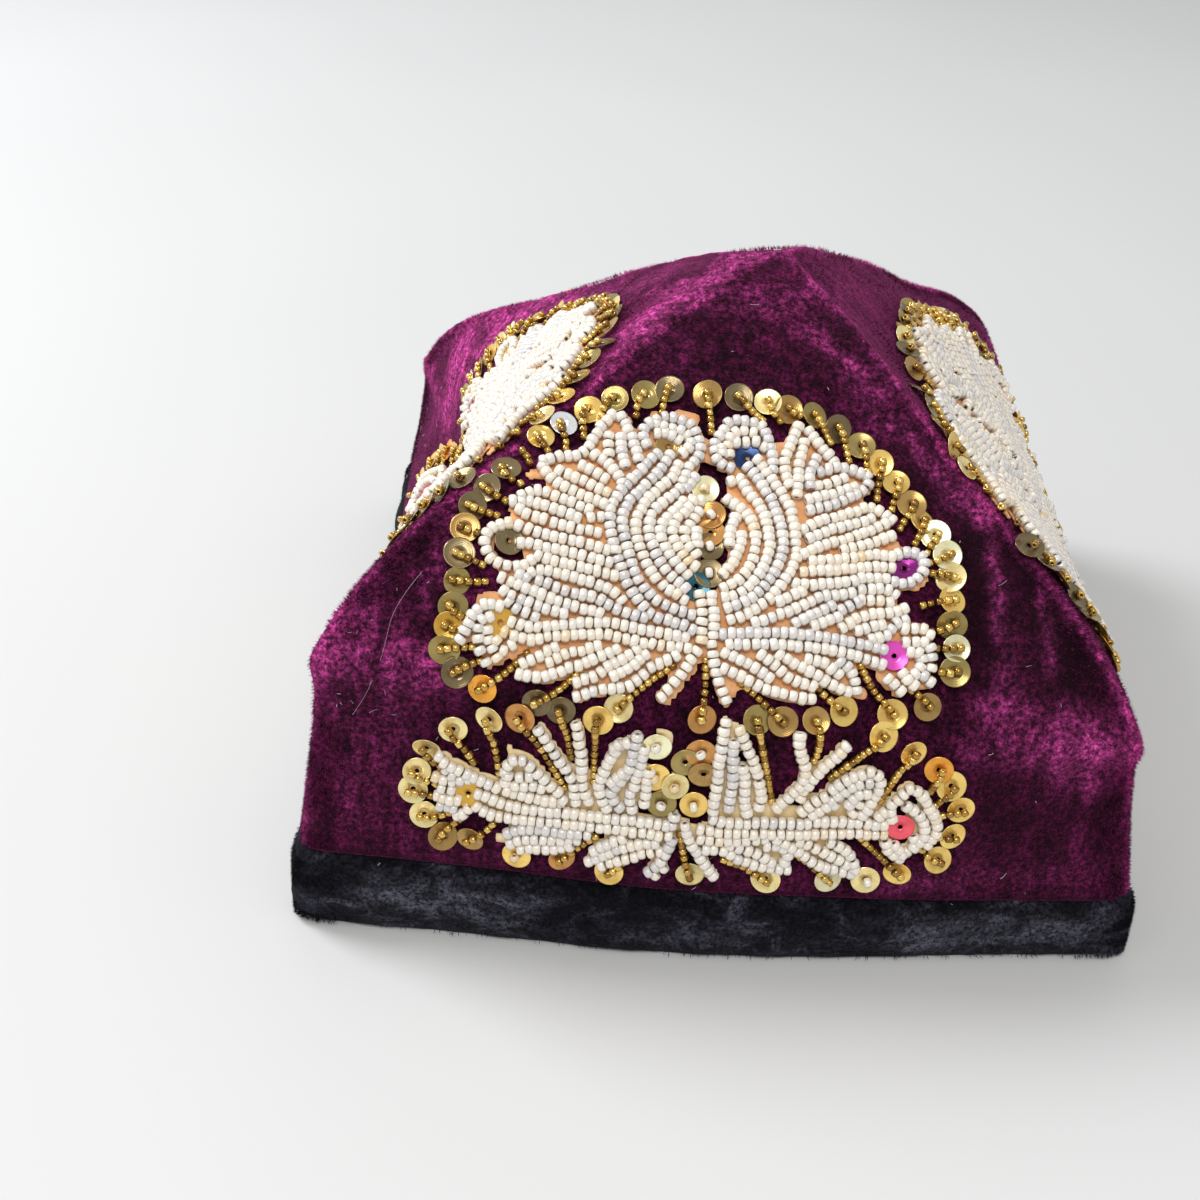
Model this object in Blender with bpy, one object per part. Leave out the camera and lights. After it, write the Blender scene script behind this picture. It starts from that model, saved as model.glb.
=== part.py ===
"""A square velvet cap with four crown panels, beaded fans and sprays, and a black hem.

Lengths are in millimetres here and become metres when a mesh is made. +Z is up, -Y is
the front, and the origin is on the ground under the middle of the cap. A place on the
cap's skin is given by its azimuth and its run: the way along the skin from the foot up.
"""
import math

import bpy
import numpy as np

METRES = 0.001

# Driving dimensions
HALF_WIDTH = 69.0       # from the middle to a side, at the crease
CLOTH = 2.5             # velvet, stiffening and lining sewn through
GAP = 0.3               # between neighbouring pieces
HEM_RUN = 14.7          # top of the black hem
CREASE_RUN = 47.0       # fold between the band and the crown
APEX_RUN = 139.0        # the crown's point
APEX_SHIFT = (8.1, -1.2)    # the point leans to the right and to the front
APEX_HEIGHT = 101.3
SADDLE = 5.7            # front left and back right corners stand higher by this, the others lower
CREASE_HEIGHT = 46.0
RIDGE_SPREAD = 15.0     # degrees either side of a ridge over which the skin rises to it

# The four sides in order of azimuth. Bulge: how far the middle of a side stands out.
# Fan and spray: how far to the viewer's right of the middle the beadwork is sewn.
SIDES = (
    # name, bulge, fan, spray
    ("right", -1.0, -7.0, -4.0),
    ("back", 3.9, 0.0, 0.0),
    ("left", 0.0, 7.0, 6.0),
    ("front", 3.9, -5.5, -7.0),
)

# The skin from the foot to the point. Ring: the side's distance as a share of HALF_WIDTH.
# Middle and ridge: height at the middle of a side and on a ridge. Sharpness: exponent of
# the rounded square. Share: of the side's bulge. Tilt: of the outward direction, in degrees.
SKIN = np.array((
    # run, ring, middle, ridge, sharpness, share, tilt
    (0.0, 1.080, 0.0, 0.0, 36.0, 1.00, 0.0),
    (14.7, 1.068, 14.6, 14.6, 36.0, 0.95, 0.0),
    (30.0, 1.035, 29.6, 29.8, 36.0, 0.80, 2.0),
    (42.0, 1.010, 41.4, 42.6, 36.0, 0.68, 8.0),
    (47.0, 0.998, 46.0, 49.0, 36.0, 0.62, 20.0),
    (53.6, 0.940, 51.6, 57.0, 36.0, 0.60, 38.0),
    (70.2, 0.780, 64.0, 67.7, 36.0, 0.60, 46.0),
    (91.1, 0.560, 76.2, 77.4, 36.0, 0.60, 46.0),
    (109.5, 0.360, 87.5, 87.9, 20.0, 0.50, 52.0),
    (124.3, 0.190, 95.3, 95.4, 8.0, 0.30, 60.0),
    (133.2, 0.080, 99.6, 99.6, 3.0, 0.10, 75.0),
    (139.0, 0.000, 101.3, 101.3, 2.0, 0.00, 90.0),
))

# The dent of the left side, pushed in and down at its middle and none at its ridges
DENT = np.array((
    # run, in, down
    (0.0, 1.5, 0.0),
    (14.7, 3.2, 0.0),
    (30.0, 10.4, 1.6),
    (42.0, 17.2, 4.9),
    (47.0, 18.4, 5.5),
    (53.6, 15.1, 4.6),
    (61.0, 11.4, 3.4),
    (70.2, 8.7, 1.5),
    (91.1, 4.4, -3.1),
    (109.5, 2.9, -3.5),
    (124.3, 2.0, -2.2),
    (139.0, 0.0, 0.0),
))
DENT_ROUNDNESS = 0.8

# Columns of a panel, as shares of the way from the middle of a side to its ridges
HALF_COLUMNS = (0.08, 0.24, 0.40, 0.55, 0.70, 0.83, 0.92, 0.97, 1.0)
COLUMNS = tuple(-share for share in reversed(HALF_COLUMNS)) + HALF_COLUMNS

GORE_RUNS = (49.0, 51.5, 54.5, 59.0, 65.0, 72.0, 80.0, 88.0, 96.0, 104.0, 114.0, 124.0, 131.0, 136.0, 138.4)
BAND_RUNS = (18.0, 22.0, 26.0, 30.0, 34.0, 38.0, 41.5, 44.5)

# The hem's section, up the outside and down the inside
HEM_SECTION = (
    # run, lift
    (0.0, -0.6),
    (0.9, 0.4),
    (3.0, 0.9),
    (11.5, 0.9),
    (13.6, 0.5),
    (14.4, -0.4),
    (14.4, -3.0),
    (11.5, -3.8),
    (1.0, -3.8),
    (0.0, -3.2),
)

# Beadwork: outlines on the flattened side, x to the viewer's right and y up from the crease
SEAT = 0.5              # from the velvet to the underside of the beadwork
BEAD_TOP = 2.5          # top of the bead field above the velvet
SEQUIN_TOP = 1.3
RIDGE_MARGIN = 2.2      # the beadwork keeps this far in from the ridges
BEADWORK = {
    # height of the centre, half width, reach up and down, roundness above, petals
    "fan": dict(centre=14.0, wide=39.5, up=39.5, down=11.0, roundness=2.0, petals=10),
    "spray": dict(centre=-15.8, wide=42.5, up=8.6, down=10.2, roundness=4.0, petals=9),
}
PETAL_DEPTH = 0.09      # share of the outline that a notch between petals cuts away
PETAL_POINTS = 4
LOWER_SQUARENESS = 4.0
SEQUIN_GAP = 0.9        # between the petals and the ring of sequins
SEQUIN_WIDTH = 5.2
SCALLOP_DEPTH = 1.3
OUTLINE_STEPS = 361
SEQUIN_RUN = {
    # first and last angle in degrees, anticlockwise, and scallops between them
    "fan": (0.0, 360.0, 28),
    "spray": (165.0, 375.0, 16),
}

# Pad sections from the middle of the underside to the middle of the top
PAD_SECTION = (
    # share of the outline, share of the height
    (0.17, 0.0),
    (0.34, 0.0),
    (0.51, 0.0),
    (0.68, 0.0),
    (0.84, 0.0),
    (1.00, 0.0),
    (1.00, 0.45),
    (0.92, 1.0),
    (0.68, 1.0),
    (0.45, 1.0),
    (0.22, 1.0),
)

# Section of the strip of sequins, out along its underside and back over the top
SEQUIN_SECTION = (
    # share of the width, lift
    (0.0, SEAT),
    (0.5, SEAT),
    (1.0, SEAT),
    (1.0, SEQUIN_TOP),
    (0.5, SEQUIN_TOP),
    (0.0, SEQUIN_TOP),
)

MATERIALS = {
    # red, green, blue, roughness, metallic
    "plum_velvet": (0.070, 0.006, 0.050, 0.90, 0.0),
    "black_velvet": (0.010, 0.010, 0.014, 0.92, 0.0),
    "white_beads": (0.780, 0.740, 0.660, 0.30, 0.0),
    "gold_sequins": (0.720, 0.460, 0.140, 0.25, 1.0),
}


def clear_scene():
    for thing in list(bpy.data.objects):
        bpy.data.objects.remove(thing, do_unlink=True)


def material(name):
    red, green, blue, roughness, metallic = MATERIALS[name]
    made = bpy.data.materials.get(name)
    if made:
        return made
    made = bpy.data.materials.new(name)
    made.use_nodes = True
    shader = made.node_tree.nodes["Principled BSDF"]
    shader.inputs["Base Color"].default_value = (red, green, blue, 1.0)
    shader.inputs["Roughness"].default_value = roughness
    shader.inputs["Metallic"].default_value = metallic
    return made


def table_row(table, run):
    """A table of the skin at one run, by a cubic through its rows that never overshoots."""
    runs = table[:, 0]
    values = table[:, 1:]
    steps = np.diff(runs)[:, None]
    slopes = np.diff(values, axis=0) / steps
    before = slopes[:-1]
    after = slopes[1:]
    tangents = np.zeros_like(values)
    turning = before * after <= 0.0
    total = np.where(turning, 1.0, before + after)
    tangents[1:-1] = np.where(turning, 0.0, 2.0 * before * after / total)
    tangents[0] = slopes[0]
    tangents[-1] = slopes[-1]
    i = int(np.clip(np.searchsorted(runs, run, side="right") - 1, 0, len(steps) - 1))
    t = (run - runs[i]) / steps[i]
    start = (2 * t**3 - 3 * t**2 + 1) * values[i] + (t**3 - 2 * t**2 + t) * steps[i] * tangents[i]
    end = (3 * t**2 - 2 * t**3) * values[i + 1] + (t**3 - t**2) * steps[i] * tangents[i + 1]
    return start + end


def side_distance(run, lift):
    """From the middle of the cap to a side that has no bulge."""
    ring, _, _, _, _, tilt = table_row(SKIN, run)
    return HALF_WIDTH * ring + lift * math.cos(math.radians(tilt))


def skin(azimuth, run, lift=0.0):
    """The point of the skin at an azimuth and a run, moved out by the lift."""
    ring, middle, ridge, sharpness, share, tilt = table_row(SKIN, run)
    quarter = math.pi / 2
    side = math.floor((azimuth + quarter / 2) / quarter)
    across = azimuth - side * quarter
    cosine = abs(math.cos(across))
    sine = abs(math.sin(across))
    square = (cosine**sharpness + sine**sharpness) ** (1.0 / sharpness)
    bulge = SIDES[side % 4][1] * share * ring * math.cos(2 * across)
    radius = side_distance(run, lift) / square + bulge

    to_ridge = math.degrees(quarter / 2 - abs(across))
    rise = (ridge - middle) * math.exp(-((to_ridge / RIDGE_SPREAD) ** 2))
    twist = math.sin(2 * azimuth)
    level = min(middle / CREASE_HEIGHT, 1.0) * min(ring, 1.0)
    lean = min(middle / APEX_HEIGHT, 1.0) * max(1.0 - ring, 0.0)
    inward = 0.0
    down = 0.0
    if SIDES[side % 4][0] == "left":
        depth = max(math.cos(2 * across), 0.0) ** DENT_ROUNDNESS
        inward, down = depth * table_row(DENT, run)
    return (
        radius * math.cos(azimuth) + APEX_SHIFT[0] * lean + inward,
        radius * math.sin(azimuth) + APEX_SHIFT[1] * lean,
        middle + rise + SADDLE * twist * min(1.3 * abs(twist), 1.0) * level
        + lift * math.sin(math.radians(tilt)) - down,
    )


def on_side(side, x, y, lift):
    """The point above a flattened side, kept in from its ridges."""
    run = CREASE_RUN + y
    ring, _, _, _, share, _ = table_row(SKIN, run)
    limit = HALF_WIDTH * ring - RIDGE_MARGIN
    out = HALF_WIDTH * ring + SIDES[side][1] * share * ring
    across = math.atan2(float(np.clip(x, -limit, limit)), out)
    return skin(side * math.pi / 2 + across, run, lift)


def closed_body(name, grid, material_name, ring=True, poles=None):
    """One closed mesh from rows of points, whose last row meets the first or, with two
    poles, ends in points. Unless it is a ring, its open sides are closed row to row."""
    rows = len(grid)
    columns = len(grid[0])
    points = [point for row in grid for point in row]
    faces = []
    for i in range(rows if poles is None else rows - 1):
        below = i * columns
        above = (i + 1) % rows * columns
        for j in range(columns if ring else columns - 1):
            k = (j + 1) % columns
            faces.append((below + j, below + k, above + k, above + j))
    if not ring:
        for i in range(rows // 2 - 1):
            outer = (i * columns, (i + 1) * columns)
            inner = ((rows - 1 - i) * columns, (rows - 2 - i) * columns)
            last = columns - 1
            faces.append((outer[0], outer[1], inner[1], inner[0]))
            faces.append((outer[1] + last, outer[0] + last, inner[0] + last, inner[1] + last))
    if poles is not None:
        points += poles
        first = len(points) - 2
        top = (rows - 1) * columns
        for j in range(columns):
            k = (j + 1) % columns
            faces.append((first, k, j))
            faces.append((first + 1, top + j, top + k))

    mesh = bpy.data.meshes.new(name)
    mesh.from_pydata([tuple(value * METRES for value in point) for point in points], [], faces)
    mesh.materials.append(material(material_name))
    mesh.shade_smooth()
    mesh.set_sharp_from_angle(angle=math.radians(40))
    body = bpy.data.objects.new(name, mesh)
    bpy.context.scene.collection.objects.link(body)
    return body


def gore(side):
    """One crown panel, from the crease to the point and between two ridges."""
    runs = (CREASE_RUN + GAP / 2,) + GORE_RUNS
    section = [(run, 0.0) for run in runs] + [(run, -CLOTH) for run in reversed(runs)]
    grid = []
    for run, lift in section:
        ridge_radius = side_distance(run, lift) * math.sqrt(2.0)
        seam = math.asin(min(GAP / 2 / ridge_radius, 0.5))
        reach = math.pi / 4 - seam
        grid.append([skin(side * math.pi / 2 + share * reach, run, lift) for share in COLUMNS])
    closed_body("gore_" + SIDES[side][0], grid, "plum_velvet", ring=False)


def ring_body(name, section, material_name):
    """A closed ring round the cap with a section of runs and lifts."""
    azimuths = []
    for side in range(len(SIDES)):
        azimuths += [math.pi / 2 * side + math.pi / 4 * share for share in COLUMNS[:-1]]
    grid = [[skin(azimuth, run, lift) for azimuth in azimuths] for run, lift in section]
    closed_body(name, grid, material_name)


def band():
    runs = (HEM_RUN + GAP / 2,) + BAND_RUNS + (CREASE_RUN - GAP / 2,)
    section = [(run, 0.0) for run in runs] + [(run, -CLOTH) for run in reversed(runs)]
    ring_body("band", section, "plum_velvet")


def hem():
    ring_body("hem", HEM_SECTION, "black_velvet")


def outline(kind, extra, first, last, count):
    """Evenly spaced points on the beadwork's plain outline, moved out by the extra width,
    between two angles."""
    shape = BEADWORK[kind]
    angle = np.radians(np.linspace(first, last, OUTLINE_STEPS))
    upper = np.sin(angle) > 0
    power = 2.0 / np.where(upper, shape["roundness"], LOWER_SQUARENESS)
    x = (shape["wide"] + extra) * np.sign(np.cos(angle)) * np.abs(np.cos(angle)) ** power
    high = np.where(upper, shape["up"], shape["down"]) + extra
    y = high * np.sign(np.sin(angle)) * np.abs(np.sin(angle)) ** power
    way = np.concatenate(([0.0], np.cumsum(np.hypot(np.diff(x), np.diff(y)))))
    even = np.linspace(0.0, way[-1], count)
    return list(zip(np.interp(even, way, x), np.interp(even, way, y)))


def beadwork_offset(side, kind):
    return SIDES[side][2 if kind == "fan" else 3]


def pad(side, kind):
    """The bead field: a thin pad whose edge is notched between petals."""
    centre_x = beadwork_offset(side, kind)
    centre_y = BEADWORK[kind]["centre"]
    count = BEADWORK[kind]["petals"] * PETAL_POINTS
    edge = []
    for i, (x, y) in enumerate(outline(kind, 0.0, 0.0, 360.0, count + 1)[:-1]):
        notch = PETAL_DEPTH if i % PETAL_POINTS == 0 else 0.0
        edge.append((x * (1 - notch), y * (1 - notch)))
    height = BEAD_TOP - SEAT
    grid = []
    for size, level in PAD_SECTION:
        row = [(centre_x + size * x, centre_y + size * y) for x, y in edge]
        grid.append([on_side(side, x, y, SEAT + level * height) for x, y in row])
    poles = [on_side(side, centre_x, centre_y, lift) for lift in (SEAT, BEAD_TOP)]
    closed_body(kind + "_" + SIDES[side][0], grid, "white_beads", poles=poles)


def sequins(side, kind):
    """The overlapping sequins round a bead field, as one strip with a scalloped rim."""
    centre_x = beadwork_offset(side, kind)
    centre_y = BEADWORK[kind]["centre"]
    first, last, count = SEQUIN_RUN[kind]
    whole = last - first == 360.0
    grid = []
    for share, lift in SEQUIN_SECTION:
        high = outline(kind, SEQUIN_GAP + share * SEQUIN_WIDTH, first, last, 2 * count + 1)
        low = outline(kind, SEQUIN_GAP + share * (SEQUIN_WIDTH - SCALLOP_DEPTH), first, last, 2 * count + 1)
        edge = [low[i] if i % 2 else high[i] for i in range(2 * count + 1)]
        if whole:
            edge.pop()
        grid.append([on_side(side, centre_x + x, centre_y + y, lift) for x, y in edge])
    closed_body(kind + "_sequins_" + SIDES[side][0], grid, "gold_sequins", ring=whole)


def main():
    clear_scene()
    for side in range(len(SIDES)):
        gore(side)
        for kind in BEADWORK:
            pad(side, kind)
            sequins(side, kind)
    band()
    hem()


main()
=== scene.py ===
"""The beaded velvet cap: its velvet, seed beads, sequins, card, lint, floor, light and camera.

Lengths are in millimetres until a mesh is made, and metres after that. A place on the
cap's skin is given by its azimuth and its run, the way along the skin from the foot up.
The beadwork is charted on the flattened front: x to the viewer's right of its middle, y up
from the crease between band and crown. A row of the chart lists the x and y of one point
after another. The other sides carry the same chart.
"""
import math
import random

import bpy
import numpy as np
from mathutils import Matrix, Vector, noise


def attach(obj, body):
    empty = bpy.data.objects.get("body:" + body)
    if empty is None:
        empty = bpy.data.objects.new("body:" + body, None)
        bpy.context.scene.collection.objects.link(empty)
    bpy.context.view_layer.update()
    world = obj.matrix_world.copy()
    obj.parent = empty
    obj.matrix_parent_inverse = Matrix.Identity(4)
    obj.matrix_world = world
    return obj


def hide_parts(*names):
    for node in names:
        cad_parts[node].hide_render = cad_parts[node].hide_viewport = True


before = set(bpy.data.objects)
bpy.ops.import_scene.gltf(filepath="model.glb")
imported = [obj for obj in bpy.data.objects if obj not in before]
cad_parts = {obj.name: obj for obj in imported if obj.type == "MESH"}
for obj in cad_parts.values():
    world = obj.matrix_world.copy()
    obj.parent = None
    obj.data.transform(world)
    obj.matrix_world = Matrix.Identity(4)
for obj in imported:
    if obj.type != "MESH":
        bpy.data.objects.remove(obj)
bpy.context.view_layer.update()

METRES = 0.001

# The skin, as the solids have it
HALF_WIDTH = 69.0
CREASE_RUN = 47.0
CREASE_HEIGHT = 46.0
APEX_HEIGHT = 101.3
APEX_SHIFT = (8.1, -1.2)
SADDLE = 5.7
RIDGE_SPREAD = 15.0
TIP_RUN = 139.0
HEM_TOP = 14.4
SIDE_NAMES = ("right", "back", "left", "front")
BULGE = np.array((-1.0, 3.9, 0.0, 3.9))
DENTED_SIDE = SIDE_NAMES.index("left")
DENT_ROUNDNESS = 0.8
SKIN = np.array((
    # run, ring, middle, ridge, sharpness, share, tilt
    (0.0, 1.080, 0.0, 0.0, 36.0, 1.00, 0.0),
    (14.7, 1.068, 14.6, 14.6, 36.0, 0.95, 0.0),
    (30.0, 1.035, 29.6, 29.8, 36.0, 0.80, 2.0),
    (42.0, 1.010, 41.4, 42.6, 36.0, 0.68, 8.0),
    (47.0, 0.998, 46.0, 49.0, 36.0, 0.62, 20.0),
    (53.6, 0.940, 51.6, 57.0, 36.0, 0.60, 38.0),
    (70.2, 0.780, 64.0, 67.7, 36.0, 0.60, 46.0),
    (91.1, 0.560, 76.2, 77.4, 36.0, 0.60, 46.0),
    (109.5, 0.360, 87.5, 87.9, 20.0, 0.50, 52.0),
    (124.3, 0.190, 95.3, 95.4, 8.0, 0.30, 60.0),
    (133.2, 0.080, 99.6, 99.6, 3.0, 0.10, 75.0),
    (139.0, 0.000, 101.3, 101.3, 2.0, 0.00, 90.0),
))

# How far the middle of the left side is pushed in and down
DENT = np.array((
    # run, in, down
    (0.0, 1.5, 0.0),
    (14.7, 3.2, 0.0),
    (30.0, 10.4, 1.6),
    (42.0, 17.2, 4.9),
    (47.0, 18.4, 5.5),
    (53.6, 15.1, 4.6),
    (61.0, 11.4, 3.4),
    (70.2, 8.7, 1.5),
    (91.1, 4.4, -3.1),
    (109.5, 2.9, -3.5),
    (124.3, 2.0, -2.2),
    (139.0, 0.0, 0.0),
))

# Camera, in millimetres and degrees
CAMERA_PLACE = (-22.0, -243.9, 190.1)
CAMERA_YAW = -0.07
CAMERA_PITCH = 34.72
CAMERA_ROLL = 2.5
CAMERA_LENS = 41.27

# Beads, sequins and card
BEAD_PITCH = 1.42
BEAD_HALF_LENGTH = 0.72
BEAD_RADIUS = 1.08
GOLD_PITCH = 1.2
GOLD_HALF_LENGTH = 0.62
GOLD_RADIUS = 0.72
SEQUIN_RADIUS = 2.45
SEQUIN_HOLE = 0.42
CARD_TOP = 0.55
CARD_REACH = {"fan": 1.05, "spray": 0.75}
CARD_CELL = 0.95
# How far to the viewer's right of each side's middle its beadwork is sewn
SEWN_AT = {
    "fan": {"right": -7.0, "back": 0.0, "left": 7.0, "front": -5.5},
    "spray": {"right": -4.0, "back": 0.0, "left": 6.0, "front": -7.0},
}
RIDGE_MARGIN = 1.5
MIRRORED = ("back", "left")
CARD_THICKNESS = 0.35
STOP_LIFT = 1.8
ROW_TONES = (0.08, 0.3, 0.4, 0.5, 0.6, 0.7)

# Velvet and lint
FOLD_RISE = 0.8
CREST_RISE = 0.35
CLOTH_THICKNESS = 2.5
TUFT_HALF_WIDTH = 0.09
LINT_RADIUS = 0.035
VELVET_COLUMNS = 400

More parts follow.
